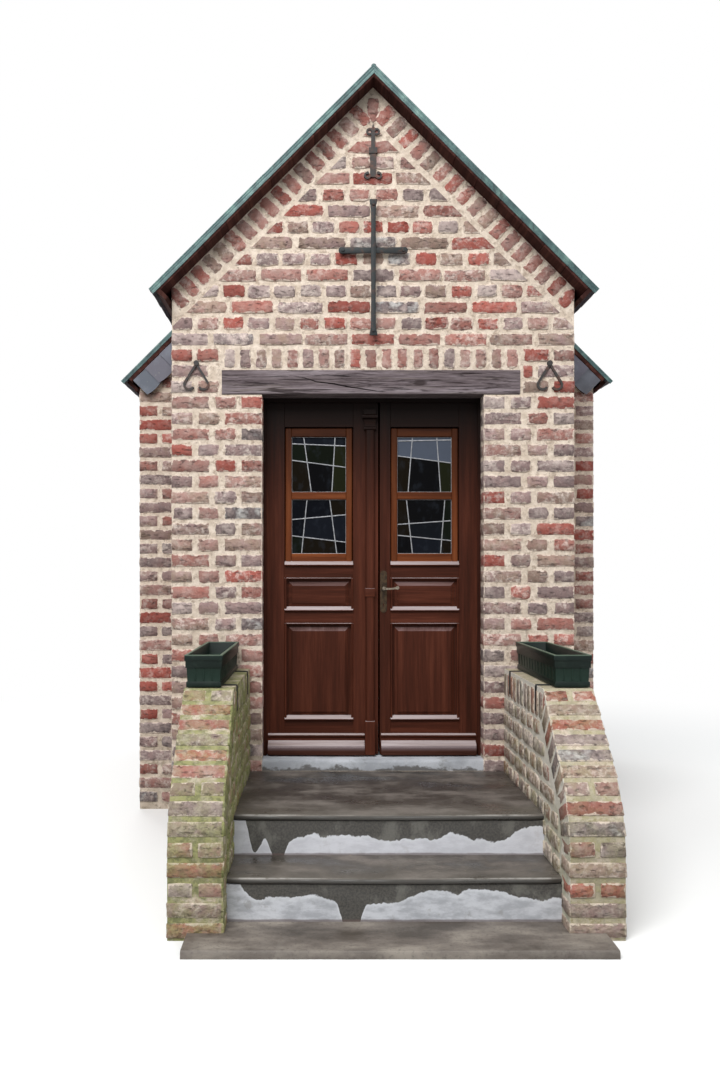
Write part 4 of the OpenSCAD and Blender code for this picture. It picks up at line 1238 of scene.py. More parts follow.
# %% Lay the roof boards
for side, name in SIDES:
    boards = []
    narrow_end, wide_end = NARROW_U - 0.040, WIDE_U - 0.040
    edges = [(k * narrow_end / 10, (k + 1) * narrow_end / 10, ROOF_FRONT_Y) for k in range(10)]
    edges += [(narrow_end + k * SLATE_COURSE, narrow_end + (k + 1) * SLATE_COURSE, WIDE_FRONT_Y)
              for k in range(3)]
    for u0, u1, y0 in edges:
        flat = board("roof_board", (y0 + TRIM, u0 + 0.0006, -BOARD_THICK),
                     (ROOF_BACK_Y - TRIM, min(u1, wide_end) - 0.0006, -0.0002), DEEP, 0.0025)
        if side > 0:
            flat.data.transform(spun(math.pi, "Z"))
            flat.data.transform(placed(0, u0 + u1, 0))
        flat.data.transform(placed(*slope_place(side, 0, 0, TRIM + SLATE_THICK)) @ slope_turn(side))
        if u0 == 0:
            cut_off(flat, (side * 0.0004, 0, 0), (-side, 0, 0))
        boards.append(flat)
    finish(boards, name + "_roof_boards", roof_wood, "building", "roof_wood", "roof_boards_" + name)
dress(roof_wood, "eaves_boards")

# %% [markdown]
# ## Copper trims
# Each edge of the roof has a folded strip of copper: a lap on the slates, a rounded fold, and a face
# down the edge that ends in a small hem. A strip is drawn as an outline and drawn out down the slope.
# It comes in lengths of about 0.8 metres, each lapped over the next, and is cut upright at the ridge.

# %% Fold the trims
TRIM_LONG, TRIM_LAP = 0.8, 0.070


def trim_run(side, u0, u1, edge_y, inward, face_h):
    """Lengths of trim down one edge of one slope."""
    count = max(1, round((u1 - u0) / TRIM_LONG))
    long = (u1 - u0) / count
    hem = face_h - 0.008
    shape = [(0, face_h), (0, hem + 0.002), (0.0018, hem), (0.0022, 0.5 * hem + 0.006),
             (0.0010, 0.5 * hem + 0.002), (0.0004, 0.5 * hem - 0.002), (0.0016, 0.5 * hem - 0.004),
             (0.0006, 0.0042), (0.0004, 0.0024), (0.0012, 0.0008), (0.0030, 0), (TRIM_LAP, 0),
             (TRIM_LAP, 0.0022), (0.0044, 0.0022), (0.0040, 0.0050), (0.0040, face_h)]
    made = []
    for index in range(count):
        lift = 0.0 if index % 2 else 0.0007
        start = u0 + index * long - (0.012 if index else 0)
        points = [slope_place(side, start, edge_y + inward * (y + lift), depth + lift)
                  for y, depth in shape]
        reach = u0 + (index + 1) * long - start
        strip = outline_piece("trim", points, slope_place(side, reach, 0) - slope_place(side, 0, 0))
        if u0 < 0.001 and index == 0:
            cut_off(strip, (side * 0.0002, 0, 0), (-side, 0, 0))
        made.append(smooth(strip))
    return made


trims = []
for side in (-1, 1):
    trims += trim_run(side, 0, NARROW_U, ROOF_FRONT_Y, 1, 0.033)
    trims += trim_run(side, NARROW_U + 0.001, WIDE_U, WIDE_FRONT_Y, 1, 0.023)
    trims += trim_run(side, 0, WIDE_U, ROOF_BACK_Y, -1, 0.023)
finish(trims, "copper_trims", verdigris, "building", "green_copper", "verge_trims")

# %% [markdown]
# The ridge is covered by two wings of copper with a round roll between them. The roll is a cylinder
# with rounded ends, and each wing ends in a small downward hem.

# %% Cover the ridge
CAP_LOW, CAP_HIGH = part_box("ridge_cap")
WING_EDGE = [(0.000, 0.0), (0.108, 0.0), (0.110, 0.0012), (0.110, 0.0040), (0.1085, 0.0040),
             (0.1075, 0.0022), (0.0022, 0.0022)]
cap_long = CAP_HIGH.y - CAP_LOW.y
ridge_parts = []
for side in (-1, 1):
    for index in range(3):
        y0 = CAP_LOW.y + index * cap_long / 3 - (0.015 if index else 0)
        lift = 0.0 if index % 2 else 0.0006
        points = [slope_place(side, u, y0, depth - lift) for u, depth in WING_EDGE]
        wing = outline_piece("ridge_wing", points, (0, CAP_LOW.y + (index + 1) * cap_long / 3 - y0, 0))
        ridge_parts.append(smooth(wing))
roll = rod("ridge_roll", 20, 0.013, cap_long + 0.10, (0, (CAP_LOW.y + CAP_HIGH.y) / 2, RIDGE_Z - 0.003))
soften(roll, 0.005, 3, lambda a, b: abs(a.y - b.y) < 1e-5)
ridge_parts.append(smooth(roll, 50))
finish(ridge_parts, "ridge_capping", verdigris, "building", "green_copper", "ridge_cap")

# %% [markdown]
# ## Slates on the bargeboards
# The front edges of the wider roof are boards with slates nailed over them. Each slate has a bowed
# lower edge and laps over the one above it, so a fine shadow marks every joint. The board behind them
# is dark, and a narrow gap of shadow stays under the copper.

# %% Clad the bargeboards
BARGE_LOW, BARGE_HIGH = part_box("slate_bargeboards")
BARGE_COUNT = 4
barge_parts, board_parts = [], []
for side in (-1, 1):
    start_u = (HALF_FRONT + 0.002) / math.cos(PITCH) + BOARD_UNDER
    end_u = WIDE_U - 0.052
    backing = outline_piece("barge_board", [
        slope_place(side, u, BARGE_LOW.y + 0.012, depth) for u, depth in (
            (start_u - 0.002, BOARD_UNDER + 0.0005), (end_u - 0.012, BOARD_UNDER + 0.0005),
            (end_u - 0.012, BOARD_UNDER + 0.116), (start_u + 0.114, BOARD_UNDER + 0.116))],
        (0, BARGE_HIGH.y - BARGE_LOW.y - 0.012, 0))
    board_parts.append(set_tone(backing, (dice.random(), LEVEL, 0.4, 0)))
    pitch_u = (end_u - start_u + 0.004) / BARGE_COUNT
    for index in range(BARGE_COUNT):
        u0 = start_u + index * pitch_u - 0.004
        u1 = min(u0 + pitch_u + 0.020, end_u)
        deep = BOARD_UNDER + 0.124
        bow = [(u0 + (u1 - u0) * k / 8, deep - 0.020 * (1 - math.sin(math.pi * (0.18 + 0.64 * k / 8))))
               for k in range(9)]
        outline = [(u1, BOARD_UNDER + 0.001), (u0, BOARD_UNDER + 0.001)] + bow
        points = [slope_place(side, u, BARGE_LOW.y + 0.0075 - 0.006 * (u - u0) / (u1 - u0), depth)
                  for u, depth in outline]
        scale = outline_piece("barge_slate", points, (0, 0.0045, 0))
        barge_parts.append(set_tone(scale, (dice.random(), dice.random(), dice.random(), 0)))
for part in barge_parts + board_parts:
    wall = math.copysign(HALF_FRONT + 0.0005, sum(v.co.x for v in part.data.vertices))
    cut_off(part, (wall, 0, 0), (-math.copysign(1, wall), 0, 0))
finish(barge_parts, "bargeboard_slates", slate, "building", "slate", "slate_bargeboards")
finish(board_parts, "bargeboard_boards", roof_wood, "building", "roof_wood", "slate_bargeboards")

# %% [markdown]
# ## Door timber
# The doors are stained a dark red-brown with a satin varnish, and the sashes are a warmer
# orange-brown. Door, sash and frame darken towards the head as painted shade under the lintel.
# Every ledge that faces up takes a pale finish of its own, partly faded by rain and light and partly
# a painted reflection of the sky. The slopes of the panels that face up take a paler painted
# highlight, and the weather rail a pale band towards its top, partly weathering and partly painted
# sheen.

# %% Door finishes
RAIL_FOOT_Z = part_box("right_leaf")[0].z
# door, sash and frame wood take painted shade towards the head, under the lintel
door_wood = make_wood("red_brown_door_wood", (51, 25, 16), (69, 34, 23), (90, 48, 34), 0.5, 0.2, shade=0.95)
# weather rail: weathered wood, paler towards its top as painted sheen on its rounded face
rail_wood = make_wood("weathered_rail_wood_with_sheen", (54, 30, 23), (72, 42, 33), (94, 60, 50), 0.5, 0.25,
                      bleach_and_sheen_band=(RAIL_FOOT_Z + 0.018, RAIL_FOOT_Z + 0.052))
sash_wood = make_wood("orange_brown_sash_wood", (70, 34, 17), (102, 53, 28), (130, 73, 40), 0.5, 0.25,
                      shade=0.75)
# faces that look up: pale from the weather and from a painted reflection of the sky
ledge_sheen_wood = make_wood("bleached_and_sky_lit_ledge_wood", (132, 116, 112), (162, 148, 147), (184, 173, 174), 0.55, 0.25)
# the slopes of the panels that face up: a painted highlight
slope_highlight_wood = make_wood("painted_highlight_slope_wood", (78, 52, 47), (102, 76, 72), (124, 100, 98), 0.5, 0.2)
frame_wood = make_wood("dark_door_frame_wood", (34, 15, 10), (54, 26, 18), (72, 36, 25), 0.55, 0.3,
                       shade=0.93)
print("door finishes:", door_wood.name, sash_wood.name, ledge_sheen_wood.name)

# %% [markdown]
# ## A door leaf
# Each leaf is a frame of stiles and rails round a large panel, a small panel and a sash. The boards
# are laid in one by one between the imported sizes, with softened edges, so that a fine line shows at
# every joint. The grain runs along each board.

# %% Measure the leaves
LEAF_LOW, LEAF_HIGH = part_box("right_leaf")
LEFT_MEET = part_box("left_leaf")[1].x
FIELD_LOW, FIELD_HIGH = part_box("right_panels")
SASH_LOW, SASH_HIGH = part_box("right_sash")
LARGE_HIGH, SMALL_HIGH = 0.495, 0.170
LARGE = (FIELD_LOW.z, FIELD_LOW.z + LARGE_HIGH)
SMALL = (FIELD_HIGH.z - SMALL_HIGH, FIELD_HIGH.z)
LEAF_Y, LEAF_IN_Y = LEAF_LOW.y, LEAF_HIGH.y
X0, X1 = FIELD_LOW.x, FIELD_HIGH.x


def mirrored(side, low, high):
    """The corners of a block on the left (-1) or the right (1)."""
    if side > 0:
        return low, high
    return (-high[0], low[1], low[2]), (-low[0], high[1], high[2])


def leaf_board(side, x0, x1, z0, z1, grain, y0=LEAF_Y, y1=LEAF_IN_Y, soft=0.0016):
    """A board of a leaf, its frame or its sash, given as it lies on the right leaf."""
    return board("board", *mirrored(side, (x0, y0, z0), (x1, y1, z1)), grain, soft)


# %% Build the leaf frames
for side, name in SIDES:
    meet = LEAF_LOW.x if side > 0 else -LEFT_MEET
    parts = [
        leaf_board(side, X1 + 0.0003, LEAF_HIGH.x, LEAF_LOW.z, LEAF_HIGH.z, UPRIGHT),
        leaf_board(side, meet, X0 - 0.0003, LEAF_LOW.z, LEAF_HIGH.z, UPRIGHT)]
    for z0, z1 in ((LEAF_LOW.z, LARGE[0]), (LARGE[1], SMALL[0]), (SMALL[1], SASH_LOW.z),
                   (SASH_HIGH.z, LEAF_HIGH.z)):
        parts.append(leaf_board(side, X0 - 0.001, X1 + 0.001, z0, z1, LEVEL, LEAF_Y + 0.0006))
    finish(parts, name + "_door_frame_boards", door_wood, name + "_door", "door_wood", name + "_leaf")

# %% [markdown]
# ## Raised panels
# A panel starts as a flat board. Its front face is inset for the margin, pushed out for a small step,
# and inset again with a rise for the sloping border. A last inset with a small rise makes the second
# step, which shows as two bright lines at the top of the real panels.

# %% Shape the panels
PANEL_STEPS = ((0.020, 0), (0.0012, 0.0035), (0.0140, 0.0035), (0.0012, 0.0030), (0.0050, 0.0016))


def raised_panel(side, z0, z1, grain):
    """A panel with its margin, its first step, its sloping border and its second step."""
    made = block("raised_panel", *mirrored(side, (X0, LEAF_Y + 0.018, z0), (X1, LEAF_Y + 0.037, z1)))
    edit(made, "FACE", lambda face: face.normal.y < -0.9)
    for wide, rise in PANEL_STEPS:
        bpy.ops.mesh.inset(thickness=wide, depth=rise)
    done(made)
    return set_tone(made, (dice.random(), grain, dice.uniform(0.3, 0.8), 0))


for side, name in SIDES:
    panels = [raised_panel(side, *LARGE, UPRIGHT), raised_panel(side, *SMALL, LEVEL)]
    piece = paint(join(panels, name + "_raised_panels"), door_wood, slope_highlight_wood)
    # slopes that face up take the painted highlight finish
    for face in piece.data.polygons:
        if face.normal.z > 0.15 and face.normal.y < -0.15:
            face.material_index = 1
    hand_over(piece, name + "_door", "door_wood", name + "_panels")

# %% [markdown]
# ## Beads, ledges and the weather rail
# A thin bead runs round three sides of each panel and a sloping ledge lies below it. The weather rail
# at the foot of the leaf throws rain clear of the threshold: a flat face, a rounded nose, a cove and
# a bead. All are outlines drawn out along the leaf. Faces that look up take the pale ledge finish,
# faded by the weather and with a painted reflection of the sky.

# %% Shape the mouldings
def along_leaf(side, name, x0, x1, outline):
    """An outline of Y and Z drawn out along X between two places."""
    start, end = (x0, x1) if side > 0 else (-x1, -x0)
    made = outline_piece(name, [(start, y, z) for y, z in outline], (end - start, 0, 0))
    return set_tone(smooth(made, 50), (dice.random(), LEVEL, 0.6, 0))


def curve(y, z, r, a0, a1, steps=6):
    """Points of a rounded edge in Y and Z, with angles in degrees."""
    angles = [math.radians(a0 + (a1 - a0) * k / steps) for k in range(steps + 1)]
    return [(y + r * math.cos(a), z + r * math.sin(a)) for a in angles]


def bead_bar(side, x0, x1, z0, z1):
    """A half-round bead on a panel's edge."""
    made = block("panel_bead", *mirrored(side, (x0, LEAF_Y - 0.006, z0), (x1, LEAF_Y + 0.016, z1)))
    upright = z1 - z0 > x1 - x0
    soften(made, 0.0045, 3, lambda a, b: a.y < LEAF_Y and b.y < LEAF_Y
           and abs((a.z - b.z) if upright else (a.x - b.x)) > 0.02)
    return set_tone(smooth(made), (dice.random(), UPRIGHT if upright else LEVEL, 0.55, 0))


LEDGE_EDGE = ((0.010, -0.001), (-0.0105, -0.001), (-0.012, 0.0005), (-0.012, 0.005), (-0.011, 0.0065),
              (0.010, 0.023))


def bleach_and_sheen_tops(piece):
    """Gives the faces that look up the second material, pale from the weather and a painted sky reflection,
    and the face of the weather rail the third.
    """
    for face in piece.data.polygons:
        looks_up = face.normal.z > 0.30 and face.center.y < LEAF_Y + 0.006
        on_rail = face.center.y < LEAF_Y - 0.025 and face.normal.y < -0.5
        face.material_index = 1 if looks_up else (2 if on_rail else 0)


for side, name in SIDES:
    parts = []
    for z0, z1 in (LARGE, SMALL):
        parts += [bead_bar(side, X0, X0 + 0.010, z0, z1), bead_bar(side, X1 - 0.010, X1, z0, z1),
                  bead_bar(side, X0, X1, z1 - 0.008, z1)]
    for z in (LARGE[0], SMALL[0], SASH_LOW.z):
        parts.append(along_leaf(side, "ledge", X0, X1, [(LEAF_Y + y, z + up) for y, up in LEDGE_EDGE]))
    low, front_y = LEAF_LOW.z, LEAF_Y - 0.040
    rail_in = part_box("right_mouldings")[0].x if side > 0 else -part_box("left_mouldings")[1].x
    rail_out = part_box("right_mouldings")[1].x
    outline = [(LEAF_Y + 0.001, low + 0.001), (front_y + 0.002, low + 0.001), (front_y, low + 0.003),
               (front_y, low + 0.040), (front_y + 0.002, low + 0.0405)]
    outline += curve(front_y + 0.024, low + 0.040, 0.022, 175, 90, 7)
    outline += [(LEAF_Y - 0.011, low + 0.064), (LEAF_Y - 0.008, low + 0.072), (LEAF_Y - 0.008, low + 0.086)]
    outline += curve(LEAF_Y - 0.007, low + 0.096, 0.009, 250, 110, 6)
    outline += [(LEAF_Y + 0.001, low + 0.1075)]
    parts.append(along_leaf(side, "weather_rail", rail_in, rail_out, outline))
    piece = paint(join(parts, name + "_door_mouldings"), door_wood, ledge_sheen_wood, rail_wood)
    bleach_and_sheen_tops(piece)
    hand_over(piece, name + "_door", "door_wood", name + "_mouldings")

# %% [markdown]
# ## Sashes
# A sash is two stiles, two rails and one bar, with a small bevel to the glass. Its joints show as
# fine lines too. A dark gap runs between it and the leaf.

# %% Build the sashes
SASH_STILE, SASH_BOTTOM, SASH_TOP, BAR, LOWER_LIGHT = 0.036, 0.062, 0.049, 0.039, 0.277
GLASS_BOXES = [(SASH_LOW.z + SASH_BOTTOM, SASH_LOW.z + SASH_BOTTOM + LOWER_LIGHT)]
GLASS_BOXES.append((GLASS_BOXES[0][1] + BAR, SASH_HIGH.z - SASH_TOP))
GLASS_X = (SASH_LOW.x + SASH_STILE, SASH_HIGH.x - SASH_STILE)
for side, name in SIDES:
    parts = []
    for x0, x1 in ((SASH_LOW.x + 0.0035, GLASS_X[0]), (GLASS_X[1], SASH_HIGH.x - 0.0035)):
        parts.append(leaf_board(side, x0, x1, SASH_LOW.z + 0.004, SASH_HIGH.z - 0.004, UPRIGHT,
                                SASH_LOW.y, SASH_HIGH.y - 0.002, 0.0042))
    for z0, z1 in ((SASH_LOW.z + 0.004, GLASS_BOXES[0][0]), (GLASS_BOXES[0][1], GLASS_BOXES[1][0]),
                   (GLASS_BOXES[1][1], SASH_HIGH.z - 0.004)):
        parts.append(leaf_board(side, GLASS_X[0] - 0.002, GLASS_X[1] + 0.002, z0, z1, LEVEL,
                                SASH_LOW.y + 0.0005, SASH_HIGH.y - 0.002, 0.0042))
    finish(parts, name + "_sash_boards", sash_wood, name + "_door", "sash_wood", name + "_sash")

# %% [markdown]
# ## Leaded glass
# The leading here is a free design of crossing, slightly leaning lines, made for this lesson. A light
# starts as one outline. Each lead cuts it, and later leads may stop against earlier ones. Every piece
# of glass keeps its own colour. Most panes take a dark tint, near black as painted shade for the
# unlit room behind them, and the top panes of the right leaf's upper light take a painted reflection
# of the sky. Each lead is a thin, rounded strip of pale metal on both faces.

# %% Glass and lead
def make_glass(name):
    made, place, _ = finish_of(name, 0.14, IOR=1.45, Specular_IOR_Level=0.05)
    own = own_numbers(place)[0]
    cloud = grain_noise(stretch(place, 30, 30, 18), 1.0, 4)
    colour = layer(patches(cloud, 0.5, 0.72) * 0.14, own, (60, 66, 76))
    return connect(made, colour, bump(grain_noise(place, 22, 3), 0.35, 0.004))


def make_lead(name):
    made, place, _ = finish_of(name, 0.45, Metallic=0.35)
    cloud = grain_noise(place, 80, 5)
    return connect(made, ramp(cloud, [(0.3, (116, 117, 121)), (0.7, (166, 167, 170))]),
                   bump(cloud, 0.3, 0.001))


glass = make_glass("old_glass_with_painted_shade_and_sky")
lead = make_lead("pale_window_lead")
# dark glass tints, near black as painted shade for the unlit room seen through the glass
GLASS_TINTS_WITH_ROOM_SHADE = [(13, 17, 10), (19, 14, 7), (9, 11, 17), (15, 18, 23), (7, 7, 9), (25, 27, 13), (17, 20, 27),
               (15, 20, 13)]
# a painted reflection of the sky
PAINTED_SKY_TINT = (74, 80, 92)

# %% Cut the lights
LEAD_LINES = {
    ("left", 0): ((0, 0.63, 1, 0.72), (0, 0.33, 1, 0.21), (0.18, 0, 0.28, 1), (0.83, 0, 0.70, 1)),
    ("left", 1): ((0, 0.58, 1, 0.45), (0.36, 0, 0.22, 1), (0.74, 0, 0.80, 1), (0, 0.88, 1, 0.84)),
    ("right", 0): ((0, 0.54, 1, 0.61), (0, 0.34, 1, 0.24), (0.28, 0, 0.17, 1), (0.80, 0, 0.88, 1)),
    ("right", 1): ((0, 0.66, 1, 0.53), (0.20, 0, 0.28, 1), (0.80, 0, 0.73, 1), (0, 0.93, 1, 0.95))}
RIM_LINES = ((0, 0, 1, 0), (1, 0, 1, 1), (1, 1, 0, 1), (0, 1, 0, 0))


def split(shape, start, end):
    """Cuts a convex outline by a line and gives the two parts, or the outline and None."""
    def side_of(p):
        return (end[0] - start[0]) * (p[1] - start[1]) - (end[1] - start[1]) * (p[0] - start[0])

    above, below = [], []
    for index, p in enumerate(shape):
        q = shape[(index + 1) % len(shape)]
        at_p, at_q = side_of(p), side_of(q)
        if at_p >= 0:
            above.append(p)
        if at_p <= 0:
            below.append(p)
        if at_p * at_q < 0:
            t = at_p / (at_p - at_q)
            cut = (p[0] + t * (q[0] - p[0]), p[1] + t * (q[1] - p[1]))
            above.append(cut)
            below.append(cut)
    return (above, below) if len(above) > 2 and len(below) > 2 else (shape, None)


def came(start, end, y0, y1, width):
    """One strip of lead from place to place, with a rounded face."""
    start, end = Vector(start), Vector(end)
    run = end - start
    made = block("came", (-width / 2, y0, 0), (width / 2, y1, run.length))
    soften(made, 0.0012, 2, lambda a, b: a.y < y0 + 1e-5 and b.y < y0 + 1e-5 and abs(a.z - b.z) > 1e-4)
    made.data.transform(placed(start.x, 0, start.y) @ spun(math.atan2(run.x, run.y), "Y"))
    return smooth(made, 50)


GLASS_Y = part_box("right_glass")[0].y
for side, name in SIDES:
    panes, cames = [], []
    for light, (z0, z1) in enumerate(GLASS_BOXES):
        x0, x1 = GLASS_X if side > 0 else (-GLASS_X[1], -GLASS_X[0])
        across, up = x1 - x0, z1 - z0

        def ends_of(line):
            return [(x0 + u * across, z0 + v * up) for u, v in (line[:2], line[2:])]

        shapes = [[ends_of(line)[0] for line in RIM_LINES]]
        for line in LEAD_LINES[(name, light)]:
            start, end = ends_of(line)
            shapes = [part for shape in shapes for part in split(shape, start, end) if part]
            cames.append(came(start, end, GLASS_Y - 0.0022, GLASS_Y + 0.008, 0.0054))
        for shape in shapes:
            uneven = [either_way(0.0004) for _ in shape]
            level = GLASS_Y + 0.001 + uneven[0]
            pane = outline_piece("pane", [(x, level, z) for x, z in shape], (0, 0.004, 0))
            middle = sum(z for _, z in shape) / len(shape)
            # the top panes of the right leaf's upper light take a painted reflection of the sky
            takes_painted_sky = light == 1 and middle > z0 + 0.55 * up and side > 0
            panes.append(set_tone(pane, tint(*(PAINTED_SKY_TINT if takes_painted_sky else dice.choice(GLASS_TINTS_WITH_ROOM_SHADE)))))
        cames += [came(*ends_of(line), GLASS_Y - 0.0010, GLASS_Y + 0.0065, 0.0036) for line in RIM_LINES]
    finish(panes, name + "_glass_pieces", glass, name + "_door", "leaded_glass", name + "_glass")
    finish(cames, name + "_window_leads", lead, name + "_door", "leaded_glass", name + "_glass")

# %% [markdown]
# ## The post between the leaves
# A rounded post on the left leaf covers the gap. It stands on a plain block, has a small block at
# lever height, and ends in a capital of four stacked mouldings under the head of the frame.

# %% Shape the post
POST_LOW, POST_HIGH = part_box("astragal")
POST_X = (POST_LOW.x + POST_HIGH.x) / 2
CAPITAL_HIGH = 0.106
CAPITAL_Z = POST_HIGH.z - CAPITAL_HIGH
BASE_TOP = LARGE[0] - 0.004
BLOCK_FOOT, BLOCK_TOP = 1.231, 1.274
BLOCK_HALF, SHAFT_HALF = 0.026, 0.022


def capital_edge(reach):
    """Edge of the capital from its foot up: a round, a fillet, a hollow, a wider round and a flat cap."""
    return (curve(reach - 0.017, 0.009, 0.009, -90, 90) + [(reach - 0.009, 0.018), (reach - 0.009, 0.026)]
            + curve(reach + 0.062, 0.026, 0.075, 180, 158, 4) + curve(reach - 0.0125, 0.069, 0.0125, -90, 90)
            + [(reach - 0.009, 0.0815), (reach - 0.009, CAPITAL_HIGH)])


def post_piece(name, half, deep, z0, z1):
    """A block of the post, as wide to either side of its middle and as deep as given."""
    return block(name, (POST_X - half, LEAF_Y - deep, z0), (POST_X + half, LEAF_Y, z1))


shaft = post_piece("shaft", SHAFT_HALF, 0.024, BASE_TOP, CAPITAL_Z)
soften(shaft, 0.010, 4, lambda a, b: a.y < LEAF_Y - 0.02 and b.y < LEAF_Y - 0.02 and abs(a.z - b.z) > 0.1)
post_parts = [set_tone(smooth(shaft), (0.3, UPRIGHT, 0.75, 0))]
post_parts.append(board("post_base", (POST_X - BLOCK_HALF, LEAF_Y - 0.040, LEAF_LOW.z + 0.001),
                        (POST_X + BLOCK_HALF, LEAF_Y, BASE_TOP), UPRIGHT, 0.003))
middle = soften(post_piece("middle_block", BLOCK_HALF, 0.028, BLOCK_FOOT, BLOCK_TOP), 0.003, 2)
post_parts.append(set_tone(smooth(middle), (0.7, LEVEL, 0.9, 0)))
half_capital = (POST_HIGH.x - POST_LOW.x) / 2
capital = ringed("capital", [
    (POST_X - wide, LEAF_Y - out, POST_X + wide, LEAF_Y + 0.001, CAPITAL_Z + z)
    for (wide, z), (out, _) in zip(capital_edge(half_capital), capital_edge(0.028))])
post_parts.append(set_tone(smooth(capital), (0.2, LEVEL, 0.5, 0)))
post = paint(join(post_parts, "meeting_post"), door_wood, ledge_sheen_wood)
# the tops of the base and the middle block take the pale ledge finish with its painted sky reflection
for face in post.data.polygons:
    on_ledge = face.normal.z > 0.9 and min(abs(face.center.z - z) for z in (BASE_TOP, BLOCK_TOP)) < 0.002
    face.material_index = 1 if on_ledge else 0
hand_over(post, "left_door", "door_wood", "astragal")

# %% [markdown]
# ## The door frame
# The frame has a lip that the leaves close against. It is built as two jambs and a head, each from
# an outline with that lip, and softened at the edge that shows.

# %% Build the door frame
JAMB_LOW, JAMB_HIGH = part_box("door_frame")
LIP_HALF, STOP_HALF = 0.540, 0.552
LIP_TOP, HEAD_UNDER = 2.222, 2.234
STOP_Y = JAMB_LOW.y + 0.012
jambs = []
for side in (-1, 1):
    plan = [(LIP_HALF, JAMB_LOW.y + 0.003), (LIP_HALF + 0.003, JAMB_LOW.y), (JAMB_HIGH.x, JAMB_LOW.y),
            (JAMB_HIGH.x, JAMB_HIGH.y), (STOP_HALF, JAMB_HIGH.y), (STOP_HALF, STOP_Y),
            (LIP_HALF + 0.002, STOP_Y), (LIP_HALF, STOP_Y - 0.002)]
    jamb = outline_piece("jamb", [(side * x, y, JAMB_LOW.z + 0.0005) for x, y in plan],
                         (0, 0, JAMB_HIGH.z - JAMB_LOW.z - 0.0005))
    jambs.append(set_tone(jamb, (dice.random(), UPRIGHT, 0.5, 0)))
side_view = [(JAMB_LOW.y + 0.0005, LIP_TOP + 0.003), (JAMB_LOW.y + 0.0035, LIP_TOP),
             (STOP_Y - 0.002, LIP_TOP), (STOP_Y, LIP_TOP + 0.002), (STOP_Y, HEAD_UNDER),
             (JAMB_HIGH.y, HEAD_UNDER),
             (JAMB_HIGH.y, JAMB_HIGH.z - 0.0005), (JAMB_LOW.y + 0.0005, JAMB_HIGH.z - 0.0005)]
head = outline_piece("head", [(-STOP_HALF - 0.01, y, z) for y, z in side_view], (2 * STOP_HALF + 0.02, 0, 0))
jambs.append(set_tone(head, (dice.random(), LEVEL, 0.3, 0)))
finish(jambs, "door_frame_timbers", frame_wood, "building", "door_wood", "door_frame")

# %% [markdown]
# ## The oak lintel
# The lintel is a hewn beam of weathered oak, grey-brown, with one knot and one long drying crack that
# falls to the right. The beam is cut into short lengths and its edges are pushed about, and the
# crack is cut with a thin wedge and a Boolean modifier.

# %% Hew the lintel
REBATE_HALF = 0.600
LINTEL_CUTS = 30
NICK_EDGES = ((0.16, 2.318, 0.42, 2.310), (0.30, 2.286, 0.62, 2.279), (-0.66, 2.300, -0.46, 2.296),
              (-0.30, 2.340, -0.02, 2.334), (0.05, 2.276, 0.19, 2.272))
oak = make_wood("weathered_oak", (60, 50, 51), (113, 102, 105), (154, 144, 148), 0.85, 1.0, 0.3,
                knots=((0.235, 2.302),))
beam = block("oak_lintel", LINTEL_LOW, LINTEL_HIGH)
cutter = block("rebate", (-REBATE_HALF, JAMB_LOW.y, LINTEL_LOW.z - 0.1),
               (REBATE_HALF, LINTEL_HIGH.y + 0.1, JAMB_HIGH.z))


def carve(piece, tool):
    """Takes one closed shape out of another and deletes the tool."""
    alone(piece)
    change = piece.modifiers.new("carve", "BOOLEAN")
    change.operation = "DIFFERENCE"
    change.solver = "EXACT"
    change.object = tool
    bpy.ops.object.modifier_apply(modifier="carve")
    remove(tool)


def noise_at(x, y, z):
    """Even noise at a place, to push an edge about."""
    return noise.noise(Vector((x, y, z)))


carve(beam, cutter)
slice_up(beam, LINTEL_LOW.x, LINTEL_HIGH.x, LINTEL_CUTS)
for point in beam.data.vertices:
    if point.co.y < LINTEL_LOW.y + 0.001:
        point.co.y += 0.0015 + 0.0025 * noise_at(point.co.x * 6, 3.1, point.co.z * 9)
        if point.co.z > LINTEL_HIGH.z - 0.001:
            point.co.z -= 0.0015 - 0.002 * noise_at(point.co.x * 5, 7.7, 1.0)
        elif point.co.z < LINTEL_LOW.z + 0.001:
            point.co.z += 0.002 - 0.003 * noise_at(point.co.x * 5, 1.3, 4.0)
soften(beam, 0.005, 2, lambda a, b: a.y < LINTEL_LOW.y + 0.006 and b.y < LINTEL_LOW.y + 0.006
       and abs(a.x - b.x) > 0.01)
crack = [(-0.42, 2.339), (-0.34, 2.326), (-0.28, 2.306), (-0.20, 2.297), (-0.12, 2.281), (-0.06, 2.273),
         (0.02, 2.260), (0.05, 2.256)]
upper = [(x, z + 0.0034 * math.sin(math.pi * k / 7) + 0.0004) for k, (x, z) in enumerate(crack)]
lower = [(x, z - 0.0026 * math.sin(math.pi * k / 7) - 0.0004) for k, (x, z) in enumerate(crack)]
wedge = outline_piece("crack", [(x, LINTEL_LOW.y - 0.01, z) for x, z in upper + lower[::-1]], (0, 0.030, 0))
carve(beam, wedge)
for x0, z0, x1, z1 in NICK_EDGES:
    middle_x, middle_z = (x0 + x1) / 2, (z0 + z1) / 2
    nick = outline_piece("nick", [(x, LINTEL_LOW.y - 0.01, z) for x, z in (
        (x0, z0), (middle_x, middle_z + 0.0016), (x1, z1), (middle_x, middle_z - 0.0014))], (0, 0.022, 0))
    carve(beam, nick)
set_tone(beam, (0.37, LEVEL, 0.5, 0))
hand_over(paint(beam, oak), "building", "weathered_oak", "lintel_beam")

